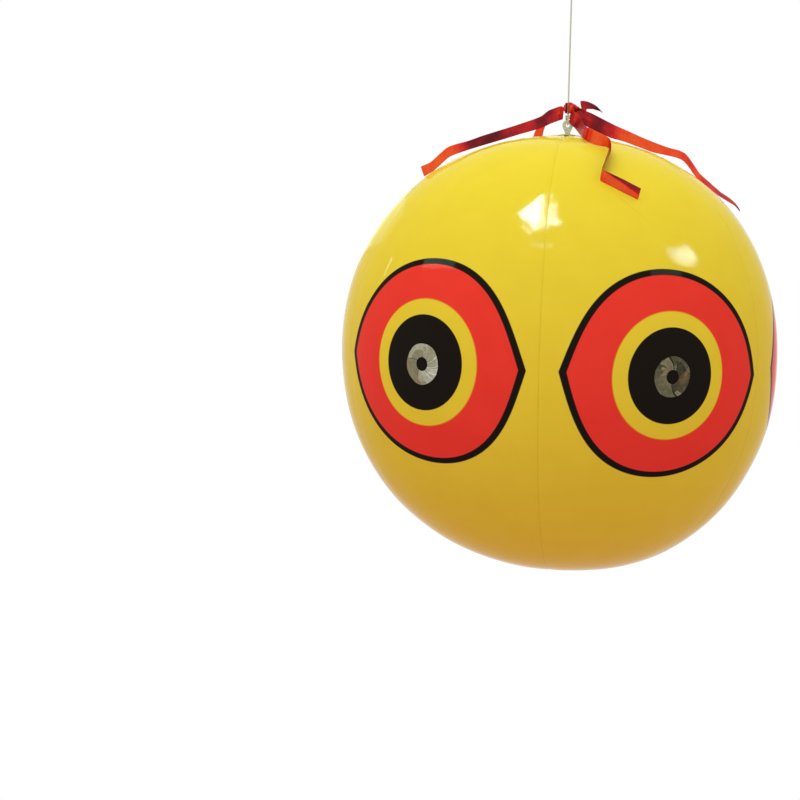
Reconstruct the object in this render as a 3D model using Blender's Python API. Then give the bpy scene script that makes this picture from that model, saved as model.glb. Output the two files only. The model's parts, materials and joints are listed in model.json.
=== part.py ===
"""Bird scare balloon: an inflated film ball that hangs on twine, with reflective stickers and strips.

Six film gores are welded edge to edge, and a round patch closes their tips at each pole. The top patch
carries a clear tab. Twine is hitched through the tab, runs straight up and ends in a knotted loop.
Metallised strips are tied round the twine above the hitch and lie over the ball. The inflation valve
sits in the bottom patch. The model's origin is the point where the loop bears on what it hangs from.
"""
from math import atan2, cos, degrees, exp, hypot, pi, radians, remainder, sin

import bmesh
import bpy
from mathutils import Matrix, Vector

# Gaps between pieces
GAP = 0.0003

# Ball
BALL_DIAMETER = 0.400
BALL_HEIGHT = 0.396
FULLNESS = 2.15
GORE_COUNT = 6
GORE_COLUMNS = 7
GORE_ROWS = 25
FRONT_SEAM_LONGITUDE = -3.3
FILM_THICKNESS = 0.0002
WELD_FIN_DEPTH = 0.0035
TIP_HOLE_RADIUS = 0.0085
PRINT_LEAN = 1.8
PEAK_HEIGHT = 0.002
PEAK_SPREAD = 0.022

# Reflective stickers on the printed pupils
STICKER_DIAMETER = 0.032
STICKER_HOLE_DIAMETER = 0.011
STICKER_THICKNESS = 0.00015
EYE_DROP = 0.0042
STICKER_SLIPS = ((-0.0030, 0.0003), (0.0030, -0.0004), (0.0012, 0.0010),
                 (-0.0008, -0.0012), (0.0018, 0.0004), (-0.0014, 0.0008))

# Polar patches
PATCH_DIAMETER = 0.040
PATCH_THICKNESS = 0.00035
PATCH_SEGMENTS = 36

# Hang tab
TAB_THICKNESS = 0.0008
TAB_NECK_WIDTH = 0.005
TAB_NECK_LENGTH = 0.0028
TAB_SHOULDER_ANGLE = radians(28)
TAB_HEAD_DIAMETER = 0.010
TAB_HEAD_HEIGHT = 0.0092
TAB_HOLE_DIAMETER = 0.0035
TAB_FOOT_DIAMETER = 0.015
TAB_FOOT_THICKNESS = 0.0005

# Twine, its hitch, its knot and its loop
CORD_DIAMETER = 0.0015
CORD_SIDE_COUNT = 8
WRAP_GAP = 0.00045
WRAP_TURNS = 1.5
KNOT_HEIGHT = 0.132
KNOT_RADIUS = 0.0033
KNOT_GROOVE = 0.0005
LOOP_WIDTH = 0.018
HANG_HEIGHT = 0.165

# Reflective strips
STRIP_WIDTH = 0.010
STRIP_THICKNESS = 0.0003
BUNDLE_RADIUS = 0.0044
BUNDLE_HEIGHT = 0.0095
BUNDLE_END_SHARE = 0.55
BUNDLE_FOLDS = 5
BUNDLE_FOLD_DEPTH = 0.0008
BUNDLE_SEGMENTS = 40
BUNDLE_LEVELS = 10

# The bundle's lobes: bearing and spread in degrees, bulge, then middle and half height as shares of its height
BUNDLE_LOBES = ((-12, 30, 0.0058, 0.35, 0.40), (-70, 26, 0.0022, 0.25, 0.35), (110, 34, 0.0014, 0.50, 0.45))
ROOT_WIDTH_SHARE = 0.25
ROOT_LEVEL = 0.42
CURL_LEVEL = 0.30
LEAST_WIDTH_SHARE = 0.08
STRIP_STEPS = 4

# Inflation valve, sizes along its axis from the film outwards
VALVE_BORE_RADIUS = 0.0033
STEM_WALL = 0.0011
STEM_LENGTH = 0.0190
STEM_RIM_RADIUS = 0.0062
STEM_RIM_THICKNESS = 0.0010
STEM_BEAD_RADIUS = 0.0052
STEM_BEAD_LENGTH = 0.0010
COLLAR_WALL = 0.0008
COLLAR_LENGTH = 0.0060
BASE_RADIUS = 0.0120
BASE_THICKNESS = 0.0008
PLUG_LENGTH = 0.0065
PLUG_CAP_RADIUS = 0.0056
PLUG_CAP_THICKNESS = 0.0014
PLUG_EAR_LENGTH = 0.0040
STRAP_WIDTH = 0.0035
STRAP_THICKNESS = 0.0007
STRAP_REACH = 0.0032
FLAP_RADIUS = 0.0046
FLAP_THICKNESS = 0.0005
VALVE_SEGMENTS = 28

# Places that follow from the sizes above
BALL_RADIUS = BALL_DIAMETER / 2
HALF_HEIGHT = BALL_HEIGHT / 2
APEX_HEIGHT = HALF_HEIGHT + PEAK_HEIGHT
BALL_CENTRE = Vector((0, 0, -HANG_HEIGHT - APEX_HEIGHT))
CORD_RADIUS = CORD_DIAMETER / 2
APEX_Z = -HANG_HEIGHT
PATCH_LIFT = GAP
TAB_LIFT = PATCH_LIFT + PATCH_THICKNESS + GAP
TAB_TOP = TAB_LIFT + TAB_HEAD_HEIGHT + TAB_HEAD_DIAMETER / 2
WRAP_RADIUS = CORD_DIAMETER + WRAP_GAP
WRAP_START = TAB_TOP + CORD_RADIUS + 2 * GAP
WRAP_RISE = WRAP_TURNS * WRAP_RADIUS
HITCH_TOP = WRAP_START + WRAP_RISE + CORD_DIAMETER
BUNDLE_BOTTOM = HITCH_TOP + GAP
BUNDLE_TOP = BUNDLE_BOTTOM + BUNDLE_HEIGHT
KNOT_Z = APEX_Z + KNOT_HEIGHT
STEM_RADIUS = VALVE_BORE_RADIUS + STEM_WALL
COLLAR_BORE = STEM_RADIUS + GAP
COLLAR_RADIUS = COLLAR_BORE + COLLAR_WALL
SOUTH_Z = BALL_CENTRE.z - HALF_HEIGHT
BASE_FLOOR = PATCH_LIFT + PATCH_THICKNESS + GAP
BASE_TOP = BASE_FLOOR + BASE_THICKNESS
RIM_FLOOR = BASE_TOP + GAP
RIM_TOP = RIM_FLOOR + STEM_RIM_THICKNESS
STEM_END = RIM_TOP - STEM_LENGTH
COLLAR_END = BASE_FLOOR - COLLAR_LENGTH

# Colours as red, green, blue, then roughness and metallic value
FILM_YELLOW = ((0.86, 0.66, 0.03), 0.18, 0.0)
CLEAR_PVC = ((0.72, 0.74, 0.60), 0.20, 0.0)
FOIL_SILVER = ((0.70, 0.67, 0.58), 0.22, 1.0)
STRIP_RED = ((0.72, 0.05, 0.03), 0.25, 0.6)
TWINE_CREAM = ((0.80, 0.73, 0.55), 0.85, 0.0)


def clear_scene():
    """Remove whatever the file opened with."""
    for item in list(bpy.data.objects):
        bpy.data.objects.remove(item, do_unlink=True)


def material(name, finish):
    """A plain Principled material from a colour, a roughness and a metallic value."""
    colour, roughness, metallic = finish
    made = bpy.data.materials.new(name)
    made.use_nodes = True
    shader = made.node_tree.nodes["Principled BSDF"]
    shader.inputs["Base Color"].default_value = (*colour, 1.0)
    shader.inputs["Roughness"].default_value = roughness
    shader.inputs["Metallic"].default_value = metallic
    return made


def add_object(name, mesh, finish, sharp_angle=40, parent=None):
    """Link a mesh as a named sub-part, shaded smooth up to an angle."""
    mesh.shade_smooth()
    mesh.set_sharp_from_angle(angle=radians(sharp_angle))
    mesh.materials.append(material(name, finish))
    item = bpy.data.objects.new(name, mesh)
    bpy.context.scene.collection.objects.link(item)
    item.parent = parent
    return item


def mesh_from(name, points, faces):
    """A mesh with its faces turned outwards."""
    shell = bmesh.new()
    corners = [shell.verts.new(point) for point in points]
    for face in faces:
        shell.faces.new([corners[i] for i in face])
    bmesh.ops.recalc_face_normals(shell, faces=shell.faces)
    mesh = bpy.data.meshes.new(name)
    shell.to_mesh(mesh)
    shell.free()
    return mesh


def skin_radius(elevation):
    """Distance of the film from the ball's centre: a squarish ellipse, drawn up a little at the tab."""
    level = (abs(cos(elevation)) / BALL_RADIUS) ** FULLNESS
    height = (abs(sin(elevation)) / HALF_HEIGHT) ** FULLNESS
    from_pole = (pi / 2 - elevation) * BALL_RADIUS
    return (level + height) ** (-1 / FULLNESS) + PEAK_HEIGHT * exp(-(from_pole / PEAK_SPREAD) ** 2)


def skin_place(direction, lift):
    """The point over the film in a direction from the ball's centre, lifted off the film."""
    elevation = atan2(direction.z, hypot(direction.x, direction.y))
    return BALL_CENTRE + direction.normalized() * (skin_radius(elevation) + lift)


def polar_place(out, azimuth, lift):
    """A point given by its way from the top pole along the film and its bearing in degrees."""
    elevation = pi / 2 - out / BALL_RADIUS
    bearing = radians(azimuth)
    level = cos(elevation)
    return skin_place(Vector((level * cos(bearing), level * sin(bearing), sin(elevation))), lift)


def gore_direction(longitude, latitude):
    """A direction on the film: the gores lean a little at the equator and stand straight at the poles."""
    bearing = longitude - pi / 2
    straight = Vector((cos(latitude) * cos(bearing), cos(latitude) * sin(bearing), sin(latitude)))
    lean = radians(PRINT_LEAN) * (1 - sin(latitude) ** 4)
    return Matrix.Rotation(lean, 3, "Y") @ straight


def gore_latitudes():
    """Rings of a gore from its top tip to its bottom tip, closer together beside the poles."""
    tip = pi / 2 - TIP_HOLE_RADIUS / BALL_RADIUS
    patch_edge = pi / 2 - PATCH_DIAMETER / 2 / BALL_RADIUS
    shoulder = pi / 2 - PATCH_DIAMETER / BALL_RADIUS
    near_pole = [tip, (tip + patch_edge) / 2, patch_edge]
    middle_rows = GORE_ROWS - 2 * len(near_pole)
    middle = [shoulder * (1 - 2 * row / (middle_rows - 1)) for row in range(middle_rows)]
    return near_pole + middle + [-latitude for latitude in reversed(near_pole)]


def gore(index):
    """One film panel with its edges turned in as weld fins, as a closed thin shell."""
    centre = radians(FRONT_SEAM_LONGITUDE + (index + 0.5) * 360 / GORE_COUNT)
    half_angle = pi / GORE_COUNT
    points = []
    for latitude in gore_latitudes():
        ring_radius = BALL_RADIUS * cos(latitude)
        edge = half_angle - GAP / 2 / ring_radius
        inner_edge = edge - FILM_THICKNESS / ring_radius
        across = [2 * column / GORE_COLUMNS - 1 for column in range(GORE_COLUMNS + 1)]
        outline = [(edge * share, 0.0) for share in across]
        outline += [(edge, -WELD_FIN_DEPTH), (inner_edge, -WELD_FIN_DEPTH)]
        outline += [(-inner_edge * share, -FILM_THICKNESS) for share in across]
        outline += [(-inner_edge, -WELD_FIN_DEPTH), (-edge, -WELD_FIN_DEPTH)]
        points += [skin_place(gore_direction(centre + side, latitude), lift) for side, lift in outline]
    ring = 2 * (GORE_COLUMNS + 1) + 4
    rows = len(points) // ring
    faces = []
    for row in range(rows - 1):
        low, high = row * ring, (row + 1) * ring
        for i in range(ring):
            after = (i + 1) % ring
            faces.append((low + i, low + after, high + after, high + i))
    last_inner = 2 * GORE_COLUMNS + 3
    for start in (0, (rows - 1) * ring):
        for i in range(GORE_COLUMNS):
            faces.append([start + k for k in (i, i + 1, last_inner - i - 1, last_inner - i)])
        faces.append([start + GORE_COLUMNS + k for k in range(4)])
        faces.append([start + k for k in (0, last_inner, last_inner + 1, last_inner + 2)])
    name = f"gore_{index + 1}"
    return add_object(name, mesh_from(name, points, faces), FILM_YELLOW)


def eye_centre(index):
    """Direction of the middle of a gore's printed eye."""
    longitude = radians(FRONT_SEAM_LONGITUDE + (index + 0.5) * 360 / GORE_COUNT)
    return gore_direction(longitude, -EYE_DROP / BALL_RADIUS).normalized()


def eye_sticker(index):
    """A foil ring stuck by hand on the printed pupil, a little off its centre, following the film."""
    middle = eye_centre(index)
    right = Vector((0, 0, 1)).cross(middle).normalized()
    above = middle.cross(right)
    slip_right, slip_up = STICKER_SLIPS[index % len(STICKER_SLIPS)]
    middle = (middle + (right * slip_right + above * slip_up) / BALL_RADIUS).normalized()
    segments = 28
    inner, outer = STICKER_HOLE_DIAMETER / 2, STICKER_DIAMETER / 2
    top = GAP + STICKER_THICKNESS
    rings = ((inner, GAP), (outer, GAP), (outer, top), (inner, top))
    points = []
    for radius, lift in rings:
        bend = radius / BALL_RADIUS
        for i in range(segments):
            turn = 2 * pi * i / segments
            offset = (right * cos(turn) + above * sin(turn)) * sin(bend)
            points.append(skin_place(middle * cos(bend) + offset, lift))
    name = f"eye_sticker_{index + 1}"
    return add_object(name, mesh_from(name, points, tube_faces(len(rings), segments, True)), FOIL_SILVER)


def tube_faces(rings, segments, closed):
    """Quads between rings of points; closed joins the last ring to the first."""
    faces = []
    for ring in range(rings if closed else rings - 1):
        after = (ring + 1) % rings
        for i in range(segments):
            beside = (i + 1) % segments
            faces.append((ring * segments + i, ring * segments + beside,
                          after * segments + beside, after * segments + i))
    return faces


def film_disc(outer, lift, thickness, top, hole=0.0, rings=5):
    """Points and faces of a round disc that follows the film over a pole."""
    sign = 1 if top else -1
    steps = [hole + (outer - hole) * i / rings for i in range(rings + 1)]
    profile = [(step, lift) for step in steps] + [(step, lift + thickness) for step in reversed(steps)]
    if not hole:
        profile = profile[1:-1]
    points = []
    for radius, height in profile:
        bend = radius / BALL_RADIUS
        for i in range(PATCH_SEGMENTS):
            turn = 2 * pi * i / PATCH_SEGMENTS
            direction = Vector((sin(bend) * cos(turn), sin(bend) * sin(turn), sign * cos(bend)))
            points.append(skin_place(direction, height))
    faces = tube_faces(len(profile), PATCH_SEGMENTS, bool(hole))
    if not hole:
        last = len(profile) - 1
        for ring, height in ((0, lift), (last, lift + thickness)):
            pole = len(points)
            points.append(skin_place(Vector((0, 0, sign)), height))
            for i in range(PATCH_SEGMENTS):
                beside = (i + 1) % PATCH_SEGMENTS
                faces.append((ring * PATCH_SEGMENTS + i, ring * PATCH_SEGMENTS + beside, pole))
    return points, faces


def patches():
    """The round patches that close the gores' tips, the bottom one with the valve's hole."""
    points, faces = film_disc(PATCH_DIAMETER / 2, PATCH_LIFT, PATCH_THICKNESS, True)
    add_object("top_patch", mesh_from("top_patch", points, faces), FILM_YELLOW)
    points, faces = film_disc(PATCH_DIAMETER / 2, PATCH_LIFT, PATCH_THICKNESS, False, COLLAR_RADIUS + GAP)
    add_object("bottom_patch", mesh_from("bottom_patch", points, faces), FILM_YELLOW)


def tab_outline():
    """Outline of the tab's blade: a narrow neck that flares into a round head."""
    head = TAB_HEAD_DIAMETER / 2
    neck = TAB_NECK_WIDTH / 2
    middle = TAB_LIFT + TAB_HEAD_HEIGHT
    arc_points = 22
    arc = []
    for i in range(arc_points + 1):
        turn = -TAB_SHOULDER_ANGLE + (pi + 2 * TAB_SHOULDER_ANGLE) * i / arc_points
        arc.append((head * cos(turn), middle + head * sin(turn)))
    floor = TAB_LIFT + TAB_FOOT_THICKNESS / 2
    flare = TAB_LIFT + TAB_NECK_LENGTH
    return [(-neck, floor), (neck, floor), (neck, flare)] + arc + [(-neck, flare)]


def hang_tab():
    """The clear tab: a round foot on the patch and an upright blade with the twine's hole."""
    outline = tab_outline()
    count = len(outline)
    points = [Vector((x, side * TAB_THICKNESS / 2, APEX_Z + z)) for side in (-1, 1) for x, z in outline]
    faces = [list(range(count)), list(range(count, 2 * count))]
    faces += [(i, (i + 1) % count, count + (i + 1) % count, count + i) for i in range(count)]
    blade = add_object("hang_tab", mesh_from("hang_tab", points, faces), CLEAR_PVC, 30)
    foot_points, foot_faces = film_disc(TAB_FOOT_DIAMETER / 2, TAB_LIFT, TAB_FOOT_THICKNESS, True, rings=2)
    foot = guide("tab_foot", mesh_from("tab_foot", foot_points, foot_faces))
    hole = bmesh.new()
    middle = Vector((0, 0, APEX_Z + TAB_LIFT + TAB_HEAD_HEIGHT))
    across = Matrix.Translation(middle) @ Matrix.Rotation(pi / 2, 4, "X")
    radius = TAB_HOLE_DIAMETER / 2
    bmesh.ops.create_cone(hole, cap_ends=True, segments=20, radius1=radius, radius2=radius,
                          depth=TAB_THICKNESS * 4, matrix=across)
    hole_mesh = bpy.data.meshes.new("tab_hole")
    hole.to_mesh(hole_mesh)
    hole.free()
    add_boolean(blade, foot, "UNION")
    add_boolean(blade, guide("tab_hole", hole_mesh), "DIFFERENCE")


def guide(name, mesh):
    """A shape that only joins or cuts another, kept out of the model."""
    item = bpy.data.objects.new(name, mesh)
    bpy.context.scene.collection.objects.link(item)
    item.hide_render = True
    item.display_type = "WIRE"
    return item


def add_boolean(item, tool, operation):
    """Join or cut an object with a guide."""
    step = item.modifiers.new(tool.name, "BOOLEAN")
    step.operation = operation
    step.solver = "EXACT"
    step.object = tool


def smooth_route(knots, steps):
    """Points on a smooth curve through a route's own points, with so many steps between two of them."""
    ends = [2 * knots[0] - knots[1]] + list(knots) + [2 * knots[-1] - knots[-2]]
    route = []
    for before, start, finish, after in zip(ends, ends[1:], ends[2:], ends[3:]):
        for i in range(steps):
            t = i / steps
            route.append(0.5 * (2 * start + (finish - before) * t
                                + (2 * before - 5 * start + 4 * finish - after) * t * t
                                + (3 * start - before - 3 * finish + after) * t ** 3))
    route.append(knots[-1])
    return route


def cord(name, route):
    """A round cord along a route, as a curve with a bevel and filled caps."""
    curve = bpy.data.curves.new(name, "CURVE")
    curve.dimensions = "3D"
    curve.bevel_depth = CORD_RADIUS
    curve.bevel_resolution = (CORD_SIDE_COUNT - 4) // 2
    curve.use_fill_caps = True
    spline = curve.splines.new("POLY")
    spline.points.add(len(route) - 1)
    for point, place in zip(spline.points, route):
        point.co = (*place, 1.0)
    curve.materials.append(material(name, TWINE_CREAM))
    item = bpy.data.objects.new(name, curve)
    bpy.context.scene.collection.objects.link(item)
    return item


def tab_hitch():
    """The twine's end: down before the tab, through its hole, up behind and round the standing part."""
    hole_top = TAB_LIFT + TAB_HEAD_HEIGHT + TAB_HOLE_DIAMETER / 2
    through = hole_top - CORD_RADIUS - GAP
    beside = TAB_THICKNESS / 2 + CORD_RADIUS + GAP
    bend = CORD_DIAMETER * 0.8
    loop = [(0, HITCH_TOP), (0, WRAP_START + CORD_DIAMETER), (0, WRAP_START),
            (-beside * 0.5, WRAP_START - CORD_RADIUS), (-beside, TAB_TOP - CORD_RADIUS),
            (-beside - bend * 0.5, TAB_TOP - CORD_DIAMETER * 2), (-beside - bend * 0.4, through + bend),
            (-beside * 0.8, through + bend * 0.15), (0, through), (beside * 0.8, through + bend * 0.15),
            (beside + bend * 0.4, through + bend), (beside + bend * 0.5, TAB_TOP - CORD_DIAMETER * 2),
            (WRAP_RADIUS, WRAP_START - CORD_DIAMETER)]
    knots = [Vector((0, y, APEX_Z + z)) for y, z in loop]
    route = smooth_route(knots, 3)
    per_turn = 16
    for i in range(1, int(WRAP_TURNS * per_turn) + 1):
        turn = pi / 2 + 2 * pi * i / per_turn
        rise = APEX_Z + WRAP_START - CORD_RADIUS + WRAP_RADIUS * i / per_turn
        route.append(Vector((WRAP_RADIUS * cos(turn), WRAP_RADIUS * sin(turn), rise)))
    last = route[-1]
    for reach, drop in ((0.9, 0.0), (1.9, 0.1), (2.9, 0.35), (3.8, 0.75)):
        route.append(last + Vector((reach, -0.1 * reach, -drop)) * CORD_DIAMETER)
    return cord("tab_hitch", route)


def cord_run():
    """The twine's straight stretch from the hitch up to the loop's knot, through the strips' middle."""
    bottom = APEX_Z + HITCH_TOP + GAP
    top = KNOT_Z - KNOT_RADIUS - GAP
    steps = 36
    return cord("cord_run", [Vector((0, 0, bottom + (top - bottom) * i / steps)) for i in range(steps + 1)])


def loop_knot():
    """The knot under the hanging loop, grooved like tight turns of twine but round all over."""
    rings, segments = 11, 18
    points = [Vector((0, 0, KNOT_Z + KNOT_RADIUS)), Vector((0, 0, KNOT_Z - KNOT_RADIUS))]
    for ring in range(1, rings):
        slope = pi * ring / rings
        for i in range(segments):
            turn = 2 * pi * i / segments
            groove = KNOT_GROOVE * sin(slope) * sin(1.5 * pi * sin(turn) + 4 * slope) ** 2
            radius = KNOT_RADIUS - groove
            points.append(Vector((radius * sin(slope) * cos(turn), radius * sin(slope) * sin(turn),
                                  KNOT_Z + radius * cos(slope))))
    faces = [[2 + k for k in face] for face in tube_faces(rings - 1, segments, False)]
    last = 2 + (rings - 2) * segments
    for i in range(segments):
        beside = (i + 1) % segments
        faces.append((0, 2 + i, 2 + beside))
        faces.append((1, last + beside, last + i))
    return add_object("loop_knot", mesh_from("loop_knot", points, faces), TWINE_CREAM, 60)


def hanging_loop():
    """The loop that goes over a hook or a branch: both legs rise from the knot and meet in a round top."""
    leg_reach = KNOT_RADIUS + 2 * GAP
    leg_spread = CORD_RADIUS + GAP
    leg_rise = (leg_reach ** 2 - leg_spread ** 2) ** 0.5
    half = LOOP_WIDTH / 2
    crown = CORD_RADIUS
    waist = (KNOT_Z + crown) * 0.45 - half * 0.3
    right_side = [(leg_spread, KNOT_Z + leg_rise), (leg_spread * 1.5, KNOT_Z + leg_rise * 1.6),
                  (half * 0.45, KNOT_Z + leg_rise * 2.8), (half * 0.85, waist),
                  (half, crown - half * 1.05), (half * 0.93, crown - half * 0.55),
                  (half * 0.6, crown - half * 0.16)]
    left_side = [(-x, z) for x, z in reversed(right_side)]
    knots = [Vector((x, 0, z)) for x, z in right_side + [(0, crown)] + left_side]
    return cord("hanging_loop", smooth_route(knots, 3))


def bundle_reach(turn, share):
    """Radius of the crumpled middle at a bearing and at a share of its height, with its bulging lobes."""
    waist = BUNDLE_END_SHARE + (1 - BUNDLE_END_SHARE) * sin(pi * share) ** 0.6
    fold = BUNDLE_FOLD_DEPTH * sin(BUNDLE_FOLDS * turn / 2 + 3 * share) ** 2
    reach = (BUNDLE_RADIUS - fold) * waist
    for bearing, spread, bulge, middle, half_height in BUNDLE_LOBES:
        aside = remainder(degrees(turn) - bearing, 360) / spread
        above = (share - middle) / half_height
        reach += bulge * exp(-aside ** 2 - above ** 2)
    return reach


def strip_bundle():
    """The strips' middle, tied tight round the twine: a folded sleeve with lobes and the twine's bore."""
    bore = CORD_RADIUS + GAP
    segments, levels = BUNDLE_SEGMENTS, BUNDLE_LEVELS
    rings = []
    for level in range(levels + 1):
        share = level / levels
        reaches = [bundle_reach(2 * pi * i / segments, share) for i in range(segments)]
        rings.append((BUNDLE_BOTTOM + BUNDLE_HEIGHT * share, reaches))
    rings.append((BUNDLE_TOP, [bore] * segments))
    rings.append((BUNDLE_BOTTOM, [bore] * segments))
    points = []
    for height, reaches in rings:
        for i, reach in enumerate(reaches):
            turn = 2 * pi * i / segments
            points.append(Vector((reach * cos(turn), reach * sin(turn), APEX_Z + height)))
    mesh = mesh_from("strip_bundle", points, tube_faces(len(rings), segments, True))
    return add_object("strip_bundle", mesh, STRIP_RED)


def strip_root(azimuth, share):
    """Where a tail leaves the bundle: its way out from the pole and its lift, just off the folds."""
    half_angle = STRIP_WIDTH * ROOT_WIDTH_SHARE / 2 / bundle_reach(radians(azimuth), share)
    nearby = [radians(azimuth) + half_angle * side for side in (-1.0, -0.5, 0, 0.5, 1.0)]
    reach = max(bundle_reach(turn, share) for turn in nearby) + GAP
    lift = BUNDLE_BOTTOM + BUNDLE_HEIGHT * share
    return reach * BALL_RADIUS / (BALL_RADIUS + lift), lift


def strip_faces(rings):
    """Faces of a film strip. Both wide sides share a diagonal, so a twist can't push one through the other."""
    faces = []
    for ring in range(rings - 1):
        here, after = 4 * ring, 4 * (ring + 1)
        faces += [(here, here + 1, after + 1), (here, after + 1, after)]
        faces += [(here + 3, after + 3, after + 2), (here + 3, after + 2, here + 2)]
        faces += [(here + 1, here + 2, after + 2, after + 1), (here + 3, here, after, after + 3)]
    last = 4 * (rings - 1)
    return faces + [(0, 1, 2, 3), (last, last + 1, last + 2, last + 3)]


def strip(name, stations):
    """A film strip on its route over the ball.

    Each station holds the way out from the pole over the film, the bearing in degrees, the lift off the
    film, the turn of the strip about its own course (0 lies flat, 90 stands on its edge) and the share
    of the full width.
    """
    places = [polar_place(out, azimuth, lift) for out, azimuth, lift, _, _ in stations]
    turns = [Vector((turn, share, 0)) for _, _, _, turn, share in stations]
    course = smooth_route(places, STRIP_STEPS)
    shapes = smooth_route(turns, STRIP_STEPS)
    points = []
    for i, place in enumerate(course):
        along = course[min(i + 1, len(course) - 1)] - course[max(i - 1, 0)]
        along.normalize()
        outward = (place - BALL_CENTRE).normalized()
        flat = along.cross(outward).normalized()
        turn = radians(shapes[i].x)
        across = flat * cos(turn) + along.cross(flat) * sin(turn)
        face = along.cross(across)
        half_width = across * STRIP_WIDTH * max(shapes[i].y, LEAST_WIDTH_SHARE) / 2
        half_film = face * STRIP_THICKNESS / 2
        points += [place + half_width + half_film, place - half_width + half_film,
                   place - half_width - half_film, place + half_width - half_film]
    return add_object(name, mesh_from(name, points, strip_faces(len(course))), STRIP_RED, 50)


def tail(name, azimuth, share, stations):
    """One tail of the tied strips, from its root at the bundle to its free end."""
    out, lift = strip_root(azimuth, share)
    strip(name, ((out, azimuth, lift, 0, ROOT_WIDTH_SHARE),) + stations)


def strips():
    """Every tail of the tied strips. The first station after a root is set by the bundle's height."""
    upper = BUNDLE_BOTTOM + BUNDLE_HEIGHT * ROOT_LEVEL
    tail("strip_long_left", -163, ROOT_LEVEL, (
        (0.0094, -163, upper - 0.0036, 80, 0.95), (0.0160, -162.8, 0.0180, 88, 1),
        (0.0215, -162.6, 0.0152, 92, 1), (0.0306, -162.7, 0.0120, 105, 1), (0.0467, -163, 0.0089, 118, 1),
        (0.0642, -163.3, 0.0066, 120, 1), (0.0787, -163.4, 0.0061, 122, 1), (0.0915, -163.2, 0.0062, 128, 1),
        (0.1026, -163, 0.0072, 124, 1), (0.1083, -162.8, 0.0078, 122, 1), (0.1127, -162.8, 0.0077, 120, 1),
        (0.1194, -163, 0.0062, 121, 1), (0.1304, -163.2, 0.0048, 122, 1), (0.1397, -163.3, 0.0054, 112, 1)))
    tail("strip_short_left", 150, ROOT_LEVEL, (
        (0.0090, 150, upper - 0.0045, 80, 0.9), (0.0150, 150, 0.0145, 80, 1), (0.0225, 150, 0.0098, 70, 1),
        (0.0300, 150, 0.0082, 60, 1), (0.0360, 150, 0.0074, 40, 1), (0.0460, 150, 0.0038, 20, 1),
        (0.0560, 150, 0.0020, 5, 1)))
    tail("strip_long_right", -14, ROOT_LEVEL, (
        (0.0133, -14, upper - 0.0046, 80, 0.95), (0.0195, -14, 0.0170, 90, 1),
        (0.0305, -13, 0.0132, 90, 1), (0.0415, -12.5, 0.0103, 85, 1), (0.0530, -12, 0.0086, 62, 1),
        (0.0670, -12, 0.0065, 57, 1), (0.0805, -12, 0.0057, 57, 1), (0.0933, -11, 0.0072, 45, 1),
        (0.1010, -10, 0.0089, 47, 1), (0.1064, -9.5, 0.0095, 46, 1), (0.1115, -9, 0.0082, 42, 1),
        (0.1180, -8.5, 0.0057, 40, 1), (0.1263, -7.5, 0.0036, 33, 1), (0.1375, -6.5, 0.0034, 30, 1),
        (0.1505, -5.5, 0.0035, 29, 1), (0.1604, -4.7, 0.0052, 25, 1), (0.1680, -4.8, 0.0065, 18, 0.85),
        (0.1743, -5, 0.0061, 15, 0.4)))
    tail("strip_back_right", 45, ROOT_LEVEL, (
        (0.0110, 45, upper - 0.0045, 75, 0.9), (0.0200, 45, 0.0140, 60, 1), (0.0300, 45, 0.0100, 50, 1),
        (0.0480, 45, 0.0062, 50, 1), (0.0620, 45, 0.0048, 40, 1), (0.0740, 45, 0.0040, 30, 0.8)))
    tail("strip_front_fold", -66, ROOT_LEVEL, (
        (0.0115, -67, upper - 0.0052, 75, 0.95), (0.0230, -69, 0.0130, 85, 1),
        (0.0400, -72, 0.0086, 90, 1), (0.0560, -75, 0.0062, 90, 1), (0.0660, -75.5, 0.0058, 90, 1),
        (0.0740, -73.8, 0.0058, 90, 1), (0.0860, -71.2, 0.0058, 90, 1), (0.0920, -69.3, 0.0058, 90, 1),
        (0.0965, -68.5, 0.0058, 90, 1), (0.1007, -68.8, 0.0058, 90, 1), (0.1055, -69.7, 0.0058, 90, 1),
        (0.1207, -72.5, 0.0058, 90, 1), (0.1331, -75.2, 0.0058, 90, 1), (0.1435, -77.4, 0.0058, 90, 1),
        (0.1505, -78.4, 0.0058, 90, 1), (0.1545, -77.6, 0.0058, 92, 1), (0.1620, -73.6, 0.0058, 96, 1),
        (0.1670, -70.9, 0.0060, 100, 1), (0.1730, -67.7, 0.0060, 100, 1)))
    tail("strip_curled_end", 15, CURL_LEVEL, (
        (0.0110, 15, 0.0262, 40, 0.6), (0.0140, 15, 0.0296, 60, 0.62), (0.0175, 15, 0.0312, 60, 0.6),
        (0.0212, 15, 0.0309, 60, 0.42), (0.0252, 15, 0.0299, 60, 0.26), (0.0290, 15, 0.0275, 60, 0.08)))


def turned(name, profile, finish, axis):
    """A round piece turned from a closed profile of radii and heights that stays off its axis."""
    points = []
    for radius, height in profile:
        for i in range(VALVE_SEGMENTS):
            turn = 2 * pi * i / VALVE_SEGMENTS
            points.append(Vector((radius * cos(turn), radius * sin(turn), height)))
    mesh = mesh_from(name, points, tube_faces(len(profile), VALVE_SEGMENTS, True))
    return add_object(name, mesh, finish, 40, axis)


def turned_solid(profile):
    """Points and faces of a round piece whose profile starts and ends on its axis."""
    segments = VALVE_SEGMENTS
    points = [Vector((0, 0, profile[0][1])), Vector((0, 0, profile[-1][1]))]
    rings = profile[1:-1]
    for radius, height in rings:
        for i in range(segments):
            turn = 2 * pi * i / segments
            points.append(Vector((radius * cos(turn), radius * sin(turn), height)))
    faces = [[2 + k for k in face] for face in tube_faces(len(rings), segments, False)]
    last = 2 + (len(rings) - 1) * segments
    for i in range(segments):
        beside = (i + 1) % segments
        faces.append((0, 2 + i, 2 + beside))
        faces.append((1, last + beside, last + i))
    return points, faces


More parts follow.
